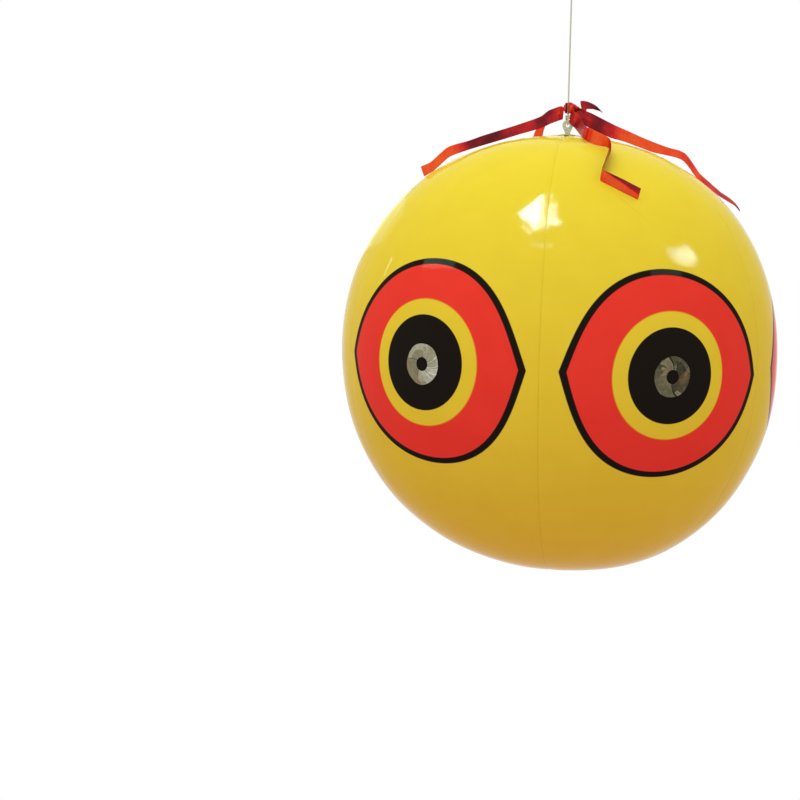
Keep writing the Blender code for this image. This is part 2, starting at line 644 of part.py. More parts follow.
def valve_axis():
    """An empty on the bottom pole whose up direction points out of the ball."""
    empty = bpy.data.objects.new("valve_axis", None)
    bpy.context.scene.collection.objects.link(empty)
    empty.location = (0, 0, SOUTH_Z)
    empty.rotation_euler = (pi, 0, 0)
    return empty


def valve_base(axis):
    """The welded flange with the collar in which the stem slides."""
    chamfer = BASE_THICKNESS * 0.4
    profile = ((COLLAR_BORE, COLLAR_END), (COLLAR_RADIUS, COLLAR_END), (COLLAR_RADIUS, BASE_FLOOR),
               (BASE_RADIUS, BASE_FLOOR), (BASE_RADIUS, BASE_TOP - chamfer),
               (BASE_RADIUS - chamfer, BASE_TOP), (COLLAR_BORE, BASE_TOP))
    turned("valve_base", profile, CLEAR_PVC, axis)


def valve_stem(axis):
    """The sliding tube: a rim outside, the air bore, and a bead that keeps it in the collar."""
    ease = STEM_RIM_THICKNESS * 0.3
    profile = ((VALVE_BORE_RADIUS, STEM_END), (STEM_BEAD_RADIUS - ease, STEM_END),
               (STEM_BEAD_RADIUS, STEM_END + ease), (STEM_BEAD_RADIUS, STEM_END + STEM_BEAD_LENGTH),
               (STEM_RADIUS, STEM_END + STEM_BEAD_LENGTH), (STEM_RADIUS, RIM_FLOOR),
               (STEM_RIM_RADIUS, RIM_FLOOR), (STEM_RIM_RADIUS, RIM_TOP - ease),
               (STEM_RIM_RADIUS - ease, RIM_TOP), (VALVE_BORE_RADIUS, RIM_TOP))
    turned("valve_stem", profile, CLEAR_PVC, axis)


def valve_plug(axis):
    """The plug: a shank in the stem's bore, a cap on its rim and a small ear to pull."""
    shank = VALVE_BORE_RADIUS - GAP
    floor = RIM_TOP + GAP
    top = floor + PLUG_CAP_THICKNESS
    tip = floor - PLUG_LENGTH
    ease = PLUG_CAP_THICKNESS * 0.3
    profile = ((0, top), (PLUG_CAP_RADIUS - ease, top), (PLUG_CAP_RADIUS, top - ease),
               (PLUG_CAP_RADIUS, floor), (shank, floor), (shank, tip + shank * 0.4),
               (shank * 0.75, tip), (0, tip))
    points, faces = turned_solid(profile)
    cap = add_object("valve_plug", mesh_from("valve_plug", points, faces), CLEAR_PVC, 40, axis)
    half = PLUG_CAP_RADIUS * 0.4
    end = -PLUG_CAP_RADIUS - PLUG_EAR_LENGTH
    outline = [(-PLUG_CAP_RADIUS * 0.6, -half), (end + half, -half)]
    outline += [(end + half - half * sin(radians(a)), -half * cos(radians(a))) for a in range(30, 180, 30)]
    outline += [(end + half, half), (-PLUG_CAP_RADIUS * 0.6, half)]
    count = len(outline)
    inset = PLUG_CAP_THICKNESS * 0.25
    ear_points = [Vector((x, y, z)) for z in (floor + inset, top - inset) for x, y in outline]
    ear_faces = [list(range(count)), list(range(count, 2 * count))]
    ear_faces += [(i, (i + 1) % count, count + (i + 1) % count, count + i) for i in range(count)]
    ear = guide("plug_ear", mesh_from("plug_ear", ear_points, ear_faces))
    ear.parent = axis
    add_boolean(cap, ear, "UNION")


def plug_strap(axis):
    """The soft strap that ties the plug to the stem's rim: a flat band in a sideways loop."""
    low = RIM_FLOOR + STEM_RIM_THICKNESS / 2
    high = RIM_TOP + GAP + PLUG_CAP_THICKNESS / 2
    start = STEM_RIM_RADIUS + GAP
    finish = PLUG_CAP_RADIUS + GAP
    middle = (low + high) / 2
    rise = (high - low) / 2
    centre = [(start, low)]
    for degree in range(-70, 71, 20):
        turn = radians(degree)
        centre.append((start + STRAP_REACH * cos(turn), middle + rise * sin(turn)))
    centre += [(finish, high)]
    sides = []
    for i, (x, z) in enumerate(centre):
        before = centre[max(i - 1, 0)]
        after = centre[min(i + 1, len(centre) - 1)]
        run = hypot(after[0] - before[0], after[1] - before[1])
        off_x = -(after[1] - before[1]) / run * STRAP_THICKNESS / 2
        off_z = (after[0] - before[0]) / run * STRAP_THICKNESS / 2
        sides.append(((x - off_x, z - off_z), (x + off_x, z + off_z)))
    points = []
    for outer, inner in sides:
        for x, z in (outer, inner):
            points += [Vector((x, -STRAP_WIDTH / 2, z)), Vector((x, STRAP_WIDTH / 2, z))]
    faces = []
    for i in range(len(sides) - 1):
        a, b = 4 * i, 4 * (i + 1)
        faces += [(a, a + 1, b + 1, b), (a + 2, b + 2, b + 3, a + 3)]
        faces += [(a, b, b + 2, a + 2), (a + 1, a + 3, b + 3, b + 1)]
    last = 4 * (len(sides) - 1)
    faces += [(0, 2, 3, 1), (last, last + 1, last + 3, last + 2)]
    add_object("plug_strap", mesh_from("plug_strap", points, faces), CLEAR_PVC, 40, axis)


def valve_flap(axis):
    """The check flap under the stem's inner end, hinged at one side of its edge."""
    top = STEM_END - GAP
    under = top - FLAP_THICKNESS
    points, faces = turned_solid(((0, top), (FLAP_RADIUS, top), (FLAP_RADIUS, under), (0, under)))
    hinge = Vector((-FLAP_RADIUS, 0, top))
    mesh = mesh_from("valve_flap", [point - hinge for point in points], faces)
    flap = add_object("valve_flap", mesh, CLEAR_PVC, 40, axis)
    flap.location = hinge


def least_wrap_gap():
    """Clearance between the hitch's turns and the part that they go round, and between two turns."""
    beside_standing = WRAP_RADIUS - CORD_DIAMETER
    slope = atan2(WRAP_RADIUS, 2 * pi * WRAP_RADIUS)
    between_turns = WRAP_RADIUS * cos(slope) - CORD_DIAMETER
    return min(beside_standing, between_turns)


def build():
    clear_scene()
    for index in range(GORE_COUNT):
        gore(index)
        eye_sticker(index)
    patches()
    hang_tab()
    tab_hitch()
    cord_run()
    loop_knot()
    hanging_loop()
    strip_bundle()
    strips()
    axis = valve_axis()
    valve_base(axis)
    valve_stem(axis)
    valve_plug(axis)
    plug_strap(axis)
    valve_flap(axis)
    print("least gap in the hitch, mm:", round(1000 * least_wrap_gap(), 2))
    eyes = [eye_centre(index) for index in range(GORE_COUNT)]
    print("eye bearings, degrees:", [round(degrees(atan2(eye.y, eye.x)), 1) for eye in eyes])


build()
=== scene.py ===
# %% [markdown]
# # A balloon that frightens birds
# The frame already holds every part of the balloon at its right size, with working joints. This lesson gives
# it its looks: a taut printed film ball, foil stickers, crumpled strips of metallised film and twisted twine.
# Everything is made in metres and in the frame's own axes, so each piece lies where its part is.

# %% Load the frame
import json
from math import radians

import bpy
import numpy as np
from mathutils import Matrix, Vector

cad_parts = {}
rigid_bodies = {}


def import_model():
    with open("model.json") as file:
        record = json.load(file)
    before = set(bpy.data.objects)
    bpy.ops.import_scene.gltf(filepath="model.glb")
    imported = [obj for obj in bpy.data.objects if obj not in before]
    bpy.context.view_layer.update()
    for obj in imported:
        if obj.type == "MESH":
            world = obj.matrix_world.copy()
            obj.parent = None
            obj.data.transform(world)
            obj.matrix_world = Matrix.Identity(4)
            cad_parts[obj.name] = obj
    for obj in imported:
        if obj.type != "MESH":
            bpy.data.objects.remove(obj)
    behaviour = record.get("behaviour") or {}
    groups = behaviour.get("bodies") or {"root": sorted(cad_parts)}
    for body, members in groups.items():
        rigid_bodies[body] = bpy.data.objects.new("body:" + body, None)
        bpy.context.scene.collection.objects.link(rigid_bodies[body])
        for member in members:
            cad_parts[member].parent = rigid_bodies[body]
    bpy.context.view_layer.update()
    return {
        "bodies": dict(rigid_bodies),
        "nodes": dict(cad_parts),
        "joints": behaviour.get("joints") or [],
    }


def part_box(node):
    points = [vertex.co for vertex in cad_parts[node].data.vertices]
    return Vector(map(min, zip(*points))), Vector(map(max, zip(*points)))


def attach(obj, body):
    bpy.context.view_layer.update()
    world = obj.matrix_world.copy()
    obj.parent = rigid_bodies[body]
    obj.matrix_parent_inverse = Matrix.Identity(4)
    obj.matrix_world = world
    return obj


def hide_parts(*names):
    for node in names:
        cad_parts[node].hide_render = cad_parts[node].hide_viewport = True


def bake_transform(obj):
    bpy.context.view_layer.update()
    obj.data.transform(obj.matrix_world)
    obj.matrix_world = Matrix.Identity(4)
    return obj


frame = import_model()

# %% [markdown]
# ## The ball's form
# The real ball is flat panels of thin film, welded together and blown up. Pressure makes it nearly round, a
# little square in outline, and the tab draws the film up into a small peak. It could be a sphere pushed into
# shape, or a simulation of the film. One formula for the film's distance from the ball's centre is quicker
# and always gives the same form, and everything that lies on the film can ask it for its place.

# %% The film's even form
BALL_RADIUS = 0.200
HALF_HEIGHT = 0.198
FULLNESS = 2.15
PEAK_HEIGHT = 0.002
PEAK_SPREAD = 0.022
HANG_HEIGHT = 0.165
APEX_Z = -HANG_HEIGHT
BALL_CENTRE = np.array((0.0, 0.0, APEX_Z - PEAK_HEIGHT - HALF_HEIGHT))


def unit(vectors):
    """Each vector divided by its length."""
    vectors = np.asarray(vectors, float)
    return vectors / np.linalg.norm(vectors, axis=-1, keepdims=True)


def skin_radius(elevation):
    """Distance of the film from the centre in a direction that rises by an elevation.

    The cosine over the radius and the sine over the half height, each to the power of the fullness, are
    added. The distance is that sum to the power of minus one over the fullness, with the peak as a bell
    curve on top.
    """
    level = (np.abs(np.cos(elevation)) / BALL_RADIUS) ** FULLNESS
    height = (np.abs(np.sin(elevation)) / HALF_HEIGHT) ** FULLNESS
    from_pole = (np.pi / 2 - elevation) * BALL_RADIUS
    return (level + height) ** (-1 / FULLNESS) + PEAK_HEIGHT * np.exp(-(from_pole / PEAK_SPREAD) ** 2)


def over_film(direction, lift=0.0):
    """Points over the film in directions from the ball's centre, lifted off it by so many metres."""
    direction = unit(direction)
    elevation = np.arcsin(np.clip(direction[..., 2], -1, 1))
    reach = skin_radius(elevation) + lift
    return BALL_CENTRE + direction * reach[..., None]


print("the film's top and bottom, m:", over_film((0, 0, 1))[2].round(4), over_film((0, 0, -1))[2].round(4))

# %% [markdown]
# ## The camera
# The photograph was taken from close by and a little above the ball's middle, with the camera aimed at the
# ball: its outline is nearly a circle. The ball stands right of the picture's middle all the same. A camera
# that looks past the ball would draw its outline out sideways, so the camera's shift puts it there instead.

# %% Camera
PICTURE_PIXELS = 800
FOCAL_PIXELS = 1110
SENSOR_MM = 36.0
BALL_PIXEL = (561.0, 352.0)
CAMERA_RISE = radians(3.5)
CAMERA_DISTANCE = 1.040
CAMERA_ROLL = radians(1.7)


def matrix_of(turn, place):
    """Blender's matrix from three axes, which are the columns of the turn, and a place."""
    matrix = np.eye(4)
    matrix[:3, :3] = turn
    matrix[:3, 3] = place
    return Matrix(matrix.tolist())


camera_place = BALL_CENTRE + CAMERA_DISTANCE * np.array((0, -np.cos(CAMERA_RISE), np.sin(CAMERA_RISE)))
sight = unit(BALL_CENTRE - camera_place)
sideways = unit(np.cross(sight, (0, 0, 1)))
upwards = np.cross(sideways, sight)
camera_right = sideways * np.cos(CAMERA_ROLL) + upwards * np.sin(CAMERA_ROLL)
camera_up = upwards * np.cos(CAMERA_ROLL) - sideways * np.sin(CAMERA_ROLL)
camera_turn = np.stack([camera_right, camera_up, -sight], 1)

camera_data = bpy.data.cameras.new("camera")
camera_data.sensor_width = SENSOR_MM
camera_data.lens = SENSOR_MM * FOCAL_PIXELS / PICTURE_PIXELS
camera_data.shift_x = 0.5 - BALL_PIXEL[0] / PICTURE_PIXELS
camera_data.shift_y = BALL_PIXEL[1] / PICTURE_PIXELS - 0.5
camera = bpy.data.objects.new("camera", camera_data)
bpy.context.scene.collection.objects.link(camera)
camera.matrix_world = matrix_of(camera_turn, camera_place)
bpy.context.scene.camera = camera
print("lens, mm:", round(camera_data.lens, 1), "camera at:", camera_place.round(3))

# %% [markdown]
# ## From pixels to places
# Strips that hang free have no size to look up, so their edges are read off the photograph. A line of sight
# through a pixel has no depth. Each such place therefore also says what carries it: the film, at a given
# lift, or an upright plane through the ball's axis in which a strip stands.

# %% Places seen in the photograph
SIGHT_START = CAMERA_DISTANCE - 1.6 * BALL_RADIUS
SIGHT_STEPS = 80
SIGHT_STEP_SHARE = 0.7


def line_of_sight(pixel):
    """Direction from the camera through a pixel: its way right, up and forwards, turned as the camera is."""
    return unit(camera_turn @ np.array((pixel[0] - BALL_PIXEL[0], BALL_PIXEL[1] - pixel[1], -FOCAL_PIXELS)))


def on_bearing(pixel, bearing):
    """Where a line of sight meets the vertical plane through the axis at a bearing in degrees."""
    square = np.array((-np.sin(np.radians(bearing)), np.cos(np.radians(bearing)), 0.0))
    line = line_of_sight(pixel)
    return camera_place - line * (camera_place @ square) / (line @ square)


def on_film(pixel, lift=0.0):
    """Where a line of sight comes to a lift over the film: it steps on by what still lies between."""
    line = line_of_sight(pixel)
    reach = SIGHT_START
    for _ in range(SIGHT_STEPS):
        arm = camera_place + line * reach - BALL_CENTRE
        distance = np.linalg.norm(arm)
        reach += SIGHT_STEP_SHARE * (distance - skin_radius(np.arcsin(arm[2] / distance)) - lift)
    return camera_place + line * reach


def seen_at(points):
    """Pixels at which points appear: x and y divided by the depth, times the focal length."""
    arms = (np.atleast_2d(points) - camera_place) @ camera_turn
    return np.stack([BALL_PIXEL[0] + FOCAL_PIXELS * arms[:, 0] / -arms[:, 2],
                     BALL_PIXEL[1] - FOCAL_PIXELS * arms[:, 1] / -arms[:, 2]], 1)


print("the tab's foot is seen at", seen_at((0, 0, APEX_Z)).round(1))

# %% [markdown]
# ## Grid surfaces
# Blender can extrude or skin a form step by step. A surface here is a grid of points instead, which numpy
# works out in one go from a formula, so that each point also has its two numbers for a pattern to follow. The
# helpers join neighbouring points with quads, close the grid on itself, and fill a tube's ends with a fan.

# %% Grid surfaces


def make_piece(name, points, faces):
    """A mesh object from points and faces, shaded smooth, at the origin."""
    mesh = bpy.data.meshes.new(name)
    mesh.from_pydata(points.reshape(-1, 3).tolist(), [], faces)
    mesh.update()
    mesh.shade_smooth()
    piece = bpy.data.objects.new(name, mesh)
    bpy.context.scene.collection.objects.link(piece)
    return piece


def grid_faces(rows, columns, round_rows=False, round_columns=False, flip=False):
    """Quads of a grid of rows and columns, wrapping where the surface closes on itself."""
    row = np.arange(rows if round_rows else rows - 1)[:, None]
    column = np.arange(columns if round_columns else columns - 1)[None, :]
    next_row = (row + 1) % rows
    next_column = (column + 1) % columns
    corners = [row * columns + column, row * columns + next_column,
               next_row * columns + next_column, next_row * columns + column]
    corners = np.stack([np.broadcast_to(corner, (row.size, column.size)) for corner in corners], -1)
    faces = corners.reshape(-1, 4)
    return (faces[:, ::-1] if flip else faces).tolist()


def tube(name, rings):
    """A closed tube from rings of points (ring, around, xyz), with a fan over each end."""
    count, around = rings.shape[:2]
    here = np.arange(around)
    beside = (here + 1) % around
    first_hub = count * around
    last_ring = first_hub - around
    start = np.stack([np.full(around, first_hub), beside, here], 1)
    finish = np.stack([np.full(around, first_hub + 1), last_ring + here, last_ring + beside], 1)
    points = np.concatenate([rings.reshape(-1, 3), rings[:1].mean(1), rings[-1:].mean(1)])
    faces = grid_faces(count, around, round_columns=True) + start.tolist() + finish.tolist()
    return make_piece(name, points, faces)


print("quads in a closed tube of 4 rings of 6:", len(grid_faces(4, 6, round_columns=True)))

# %% Numbers on a mesh


def add_values(piece, name, values):
    """A number for every point of a mesh, which a material can read by its name."""
    layer = piece.data.attributes.new(name, "FLOAT", "POINT")
    layer.data.foreach_set("value", np.asarray(values, np.float32).ravel())


def add_map(piece, name, across_values, along_values):
    """A UV map from two numbers at every point of a mesh."""
    layer = piece.data.uv_layers.new(name=name)
    corners = np.empty(len(piece.data.loops), np.int32)
    piece.data.loops.foreach_get("vertex_index", corners)
    pairs = np.stack([np.ravel(across_values), np.ravel(along_values)], 1)[corners]
    layer.data.foreach_set("uv", pairs.astype(np.float32).ravel())


print("ways to hand numbers to a material:", [helper.__name__ for helper in (add_values, add_map)])

# %% Walls and unevenness
RIPPLE_WAVES = 7
RIPPLE_RANGE = (0.7, 1.4)
RIPPLE_GAIN = 1.6


def thicken(piece, thickness, offset):
    """A wall of even thickness: offset -1 grows inwards, 0 grows to both sides."""
    step = piece.modifiers.new("wall", "SOLIDIFY")
    step.thickness = thickness
    step.offset = offset


def ripple(points, wavelength, seed):
    """Soft random unevenness around zero: a mean of sine waves in random directions, times a gain."""
    chance = np.random.default_rng(seed)
    turns = unit(chance.normal(size=(RIPPLE_WAVES, 3))) * 2 * np.pi / wavelength
    turns = turns * chance.uniform(*RIPPLE_RANGE, (RIPPLE_WAVES, 1))
    starts = chance.uniform(0, 2 * np.pi, RIPPLE_WAVES)
    return np.sin(points @ turns.T + starts).mean(-1) * RIPPLE_GAIN


ripple_sample = ripple(np.linspace((0, 0, 0), (1, 0, 0), 500), 0.05, 1)
print("a ripple runs from", ripple_sample.min().round(2), "to", ripple_sample.max().round(2))

# %% [markdown]
# ## Smooth routes
# A cord or a strip follows a few points that a maker would pick by hand, and a smooth surface needs many. A
# Blender curve would give them too, but only inside its own object. Worked out here, the same line serves the
# surface, its length and its pattern.

# %% Curves through chosen points
FIRST_SIDE = np.array((0.31, 0.91, 0.27))
FEWEST_STEPS = 8


def smooth_route(knots, steps, ease=0.5):
    """A curve through knots: cubic spans whose end slopes are ease times the chord between neighbours."""
    knots = np.asarray(knots, float)
    ends = np.concatenate([2 * knots[:1] - knots[1:2], knots, 2 * knots[-1:] - knots[-2:-1]])
    before, start, finish, after = ends[:-3], ends[1:-2], ends[2:-1], ends[3:]
    share = (np.arange(steps) / steps)[None, :, None]
    slope_in = ease * (finish - before)[:, None]
    slope_out = ease * (after - start)[:, None]
    start, finish = start[:, None], finish[:, None]
    square, cube = share ** 2, share ** 3
    curve = ((2 * cube - 3 * square + 1) * start + (cube - 2 * square + share) * slope_in
             + (3 * square - 2 * cube) * finish + (cube - square) * slope_out)
    return np.concatenate([curve.reshape(-1, knots.shape[1]), knots[-1:]])


def reach_along(route):
    """How far along a route each of its points lies: the sum of the steps before it."""
    return np.concatenate([[0], np.cumsum(np.linalg.norm(np.diff(route, axis=0), axis=1))])


def length_of(route):
    """Sum of the distances between a route's points."""
    return float(reach_along(route)[-1])


def even_route(route, spacing):
    """The same line with its points at an even spacing, by interpolation over its length."""
    reach = reach_along(route)
    even = np.linspace(0, reach[-1], max(int(reach[-1] / spacing), FEWEST_STEPS) + 1)
    return np.stack([np.interp(even, reach, route[:, k]) for k in range(route.shape[1])], 1)


def across(vector, axis):
    """The part of a vector that is square to a unit axis, made a unit vector."""
    return unit(vector - axis * (vector @ axis))


def steady_sides(route):
    """Two unit directions square to the route at each point, carried along without twisting."""
    along = unit(np.gradient(route, axis=0))
    side = across(FIRST_SIDE, along[0])
    sides = []
    for direction in along:
        side = across(side, direction)
        sides.append(side)
    sides = np.array(sides)
    return sides, np.cross(along, sides)


corner_curve = smooth_route([(0, 0), (1, 0), (1, 1)], 20)
print("a curve through three corners of a square:", round(length_of(corner_curve), 3))

# %% [markdown]
# ## Shader words
# A material is a web of nodes. Written out node by node it is hard to read, so a small class wraps a socket
# and lets sums be written as sums. Everything that isn't a sum comes from one method that takes the node's
# type, its settings and its inputs.

# %% Sockets that do sums


class Wire:
    """A node's output that adds Math nodes when it is used in an expression."""

    def __init__(self, nodes, socket):
        self.nodes = nodes
        self.socket = socket

    def maths(self, operation, *values):
        return self.nodes.node("ShaderNodeMath", {"operation": operation}, dict(enumerate(values)))

    def __add__(self, other):
        return self.maths("ADD", self, other)

    def __sub__(self, other):
        return self.maths("SUBTRACT", self, other)

    def __rsub__(self, other):
        return self.maths("SUBTRACT", other, self)

    def __mul__(self, other):
        return self.maths("MULTIPLY", self, other)

    def __truediv__(self, other):
        return self.maths("DIVIDE", self, other)

    def __rtruediv__(self, other):
        return self.maths("DIVIDE", other, self)

    __radd__ = __add__
    __rmul__ = __mul__

    def size(self):
        return self.maths("ABSOLUTE", self)

    def grown(self):
        """The number e to the power of this value."""
        return self.maths("EXPONENT", self)

    def root(self):
        return self.maths("SQRT", self)

    def or_more(self, other):
        """The larger of this value and another."""
        return self.maths("MAXIMUM", self, other)

    def angle_over(self, other):
        """Angle whose tangent is this value over another."""
        return self.maths("ARCTAN2", self, other)

    def held(self):
        """This value kept between 0 and 1."""
        return self.nodes.node("ShaderNodeClamp", {}, {"Value": self})


print("words for sums:", [word for word in vars(Wire) if not word.startswith("_")])

# %% Nodes from plain calls


class Nodes:
    """A web of nodes that is built by plain calls."""

    def __init__(self, tree):
        self.tree = tree

    def node(self, kind, settings=None, inputs=None, output=0):
        """A node of a kind, with its settings made first and then its inputs, as one of its outputs."""
        made = self.tree.nodes.new(kind)
        for name, value in (settings or {}).items():
            if name == "stops":
                self.set_stops(made.color_ramp, value)
            else:
                setattr(made, name, value)
        for name, value in (inputs or {}).items():
            self.fill(made.inputs[name], value)
        return Wire(self, made.outputs[output])

    def fill(self, socket, value):
        """Give a socket a link or a plain value."""
        if isinstance(value, Wire):
            self.tree.links.new(value.socket, socket)
        else:
            socket.default_value = value

    @staticmethod
    def set_stops(ramp, stops):
        """Places and colours of a colour ramp."""
        while len(ramp.elements) < len(stops):
            ramp.elements.new(0.5)
        for element, (place, colour) in zip(ramp.elements, stops):
            element.position = place
            element.color = (*colour, 1.0)

    def place(self):
        """Coordinates in the piece's own mesh."""
        return self.node("ShaderNodeTexCoord", output="Object")

    def flat_place(self, uv_map):
        """The two numbers that a UV map gives."""
        flat = self.node("ShaderNodeUVMap", {"uv_map": uv_map})
        return [self.node("ShaderNodeSeparateXYZ", {}, {"Vector": flat}, part) for part in ("X", "Y")]

    def attribute(self, name):
        """The number that a mesh carries under a name."""
        return self.node("ShaderNodeAttribute", {"attribute_name": name}, output="Fac")

    def noise(self, vector, scale, detail=2.0, roughness=0.5):
        """Cloudy numbers around a half, so many clouds to the metre."""
        inputs = {"Vector": vector, "Scale": scale, "Detail": detail, "Roughness": roughness}
        return self.node("ShaderNodeTexNoise", {}, inputs)

    def stretched(self, vector, scale):
        """Coordinates scaled by three factors."""
        return self.node("ShaderNodeMapping", {}, {"Vector": vector, "Scale": scale})

    def ramp(self, stops, share):
        """A colour read off a row of colours at a share from 0 to 1."""
        return self.node("ShaderNodeValToRGB", {"stops": stops}, {"Fac": share})

    def mix(self, share, first, second):
        """Colour between two colours, by a share from 0 to 1."""
        inputs = {0: share}
        for place, colour in ((6, first), (7, second)):
            inputs[place] = colour if isinstance(colour, Wire) else (*colour, 1.0)
        return self.node("ShaderNodeMix", {"data_type": "RGBA"}, inputs, 2)


class Finish(Nodes):
    """A material with one Principled shader, whose constants are set on its own sockets."""

    def __init__(self, name, constants):
        self.material = bpy.data.materials.new(name)
        self.material.use_nodes = True
        super().__init__(self.material.node_tree)
        self.shader = self.tree.nodes["Principled BSDF"]
        for socket, value in constants.items():
            self.feed(socket, value)

    def feed(self, socket, value):
        """Give one of the shader's sockets its value."""
        self.fill(self.shader.inputs[socket], value)

    def bump(self, height, distance, strength=1.0):
        """Shading that follows a height in metres times a distance."""
        inputs = {"Height": height, "Distance": distance, "Strength": strength}
        self.feed("Normal", self.node("ShaderNodeBump", {}, inputs))


print("words for nodes:", [word for word in vars(Nodes) if not word.startswith("_")])

# %% Colours
LINEAR_LIMIT = 0.04045


def srgb(red, green, blue):
    """A picture's 0 to 255 colour as the linear colour that a shader takes."""
    shares = np.array((red, green, blue)) / 255
    linear = np.where(shares <= LINEAR_LIMIT, shares / 12.92, ((shares + 0.055) / 1.055) ** 2.4)
    return tuple(linear.tolist())


print("a picture's mid grey is to a shader", round(srgb(128, 128, 128)[0], 3))

# %% [markdown]
# ## Twine
# The ball hangs on cream twine of 1.5 mm, laid up from three plies. Three thin tubes wound round each other
# would give its look with most of their skin hidden inside. One tube does as well: each ring has three round
# lobes and is turned a little against the one before, so the valleys between the plies wind round.

# %% Twine finish
FIBRE_GREY = srgb(196, 192, 178)
FIBRE_CREAM = srgb(230, 227, 214)
FIBRE_AGED = srgb(216, 211, 194)
PLY_SHADOW = srgb(152, 147, 130)


def twine_finish():
    """Matt cream fibres: fine streaks along the plies, darker in the valleys between them."""
    finish = Finish("twine_finish", {"Roughness": 0.82, "Specular IOR Level": 0.3})
    vector = finish.place()
    fibres = finish.noise(finish.stretched(vector, (1.0, 1.0, 0.35)), scale=5200, detail=3.0, roughness=0.6)
    age = finish.noise(vector, scale=240)
    valley = finish.attribute("valley")
    pale = finish.mix(fibres, FIBRE_GREY, FIBRE_CREAM)
    aged = finish.mix((age * 1.5 - 0.45).held() * 0.4, pale, FIBRE_AGED)
    finish.feed("Base Color", finish.mix(valley * 0.5, aged, PLY_SHADOW))
    finish.feed("Roughness", fibres * 0.2 + 0.7)
    finish.bump(fibres * 0.7 + (1 - valley) * 0.3, distance=0.00012, strength=0.7)
    return finish.material


TWINE = twine_finish()
print("finish:", TWINE.name)

# %% Twisted cord
CORD_DIAMETER = 0.0015
CORD_RADIUS = CORD_DIAMETER / 2
PLIES = 3
PLY_TURN_LENGTH = 0.0052
PLY_DEPTH = 0.17
PLY_ROUNDNESS = 0.8
TWINE_SPACING = 0.0003
TWINE_SIDES = 24


def twine(name, route):
    """A twisted cord: the radius less a share for the valleys, which wind round once in a turn length."""
    route = even_route(np.asarray(route, float), TWINE_SPACING)
    side, other = steady_sides(route)
    angle = np.linspace(0, 2 * np.pi, TWINE_SIDES, endpoint=False)[None, :]
    ply = PLIES * (angle - 2 * np.pi * reach_along(route)[:, None] / PLY_TURN_LENGTH) / 2
    valley = 1 - np.abs(np.cos(ply)) ** PLY_ROUNDNESS
    radius = CORD_RADIUS * (1 - PLY_DEPTH * valley)
    outward = np.cos(angle)[..., None] * side[:, None] + np.sin(angle)[..., None] * other[:, None]
    piece = tube(name, route[:, None] + radius[..., None] * outward)
    add_values(piece, "valley", np.concatenate([valley.ravel(), [1, 1]]))
    piece.data.materials.append(TWINE)
    return piece, route


print("one turn of the plies, mm:", 1000 * PLY_TURN_LENGTH)

# %% [markdown]
# ## The hitch
# A hitch ties the twine to the tab: it goes down in front, through the tab's hole, up behind and round the
# standing part, and ends cut off. A simulated knot would never settle the same way twice. Its points are
# worked out from the tab's own sizes, and they are the ones that the frame's plain hitch follows.

# %% The hitch on the tab
GAP = 0.0003
PATCH_THICKNESS = 0.00035
TAB_THICKNESS = 0.0008
TAB_HEAD_DIAMETER = 0.010
TAB_HEAD_HEIGHT = 0.0092
TAB_HOLE_DIAMETER = 0.0035
WRAP_GAP = 0.00045
WRAP_TURNS = 1.5
WRAP_STEPS = 48
TAB_LIFT = 2 * GAP + PATCH_THICKNESS
TAB_TOP = TAB_LIFT + TAB_HEAD_HEIGHT + TAB_HEAD_DIAMETER / 2
WRAP_RADIUS = CORD_DIAMETER + WRAP_GAP
WRAP_START = TAB_TOP + CORD_RADIUS + 2 * GAP
HITCH_TOP = WRAP_START + WRAP_TURNS * WRAP_RADIUS + CORD_DIAMETER
HITCH_BEND = CORD_DIAMETER * 0.8
HITCH_STEPS, CUT_END_STEPS = 12, 6
# The cut end's way out from the wraps, and how far it drops, in cord diameters
CUT_END_OUT = np.array((0.9, 1.9, 2.9, 3.8))
CUT_END_DROP = np.array((0.0, 0.1, 0.35, 0.75))


def hitch_route():
    """Down the tab's front, through the hole, up behind, then turns that rise by their own radius each."""
    through = TAB_LIFT + TAB_HEAD_HEIGHT + TAB_HOLE_DIAMETER / 2 - CORD_RADIUS - GAP
    beside = TAB_THICKNESS / 2 + CORD_RADIUS + GAP
    knots = [(0, HITCH_TOP), (0, WRAP_START + CORD_DIAMETER), (0, WRAP_START),
             (-beside * 0.5, WRAP_START - CORD_RADIUS), (-beside, TAB_TOP - CORD_RADIUS),
             (-beside - HITCH_BEND * 0.5, TAB_TOP - CORD_DIAMETER * 2),
             (-beside - HITCH_BEND * 0.4, through + HITCH_BEND),
             (-beside * 0.8, through + HITCH_BEND * 0.15), (0, through),
             (beside * 0.8, through + HITCH_BEND * 0.15),
             (beside + HITCH_BEND * 0.4, through + HITCH_BEND),
             (beside + HITCH_BEND * 0.5, TAB_TOP - CORD_DIAMETER * 2),
             (WRAP_RADIUS, WRAP_START - CORD_DIAMETER)]
    loop = smooth_route([(0, y, APEX_Z + z) for y, z in knots], HITCH_STEPS)
    turn = np.linspace(0, 2 * np.pi * WRAP_TURNS, int(WRAP_TURNS * WRAP_STEPS))[1:]
    rise = APEX_Z + WRAP_START - CORD_RADIUS + WRAP_RADIUS * turn / (2 * np.pi)
    turned = turn + np.pi / 2
    wraps = np.stack([WRAP_RADIUS * np.cos(turned), WRAP_RADIUS * np.sin(turned), rise], 1)
    cut_end = wraps[-1] + np.stack([CUT_END_OUT, -0.1 * CUT_END_OUT, -CUT_END_DROP], 1) * CORD_DIAMETER
    end = smooth_route(np.concatenate([wraps[-1:], cut_end]), CUT_END_STEPS)
    return np.concatenate([loop, wraps, end[1:]])


hitch, hitch_line = twine("tab_hitch_twine", hitch_route())
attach(hitch, "balloon")
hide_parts("tab_hitch")
print("hitch, m:", round(length_of(hitch_line), 4))

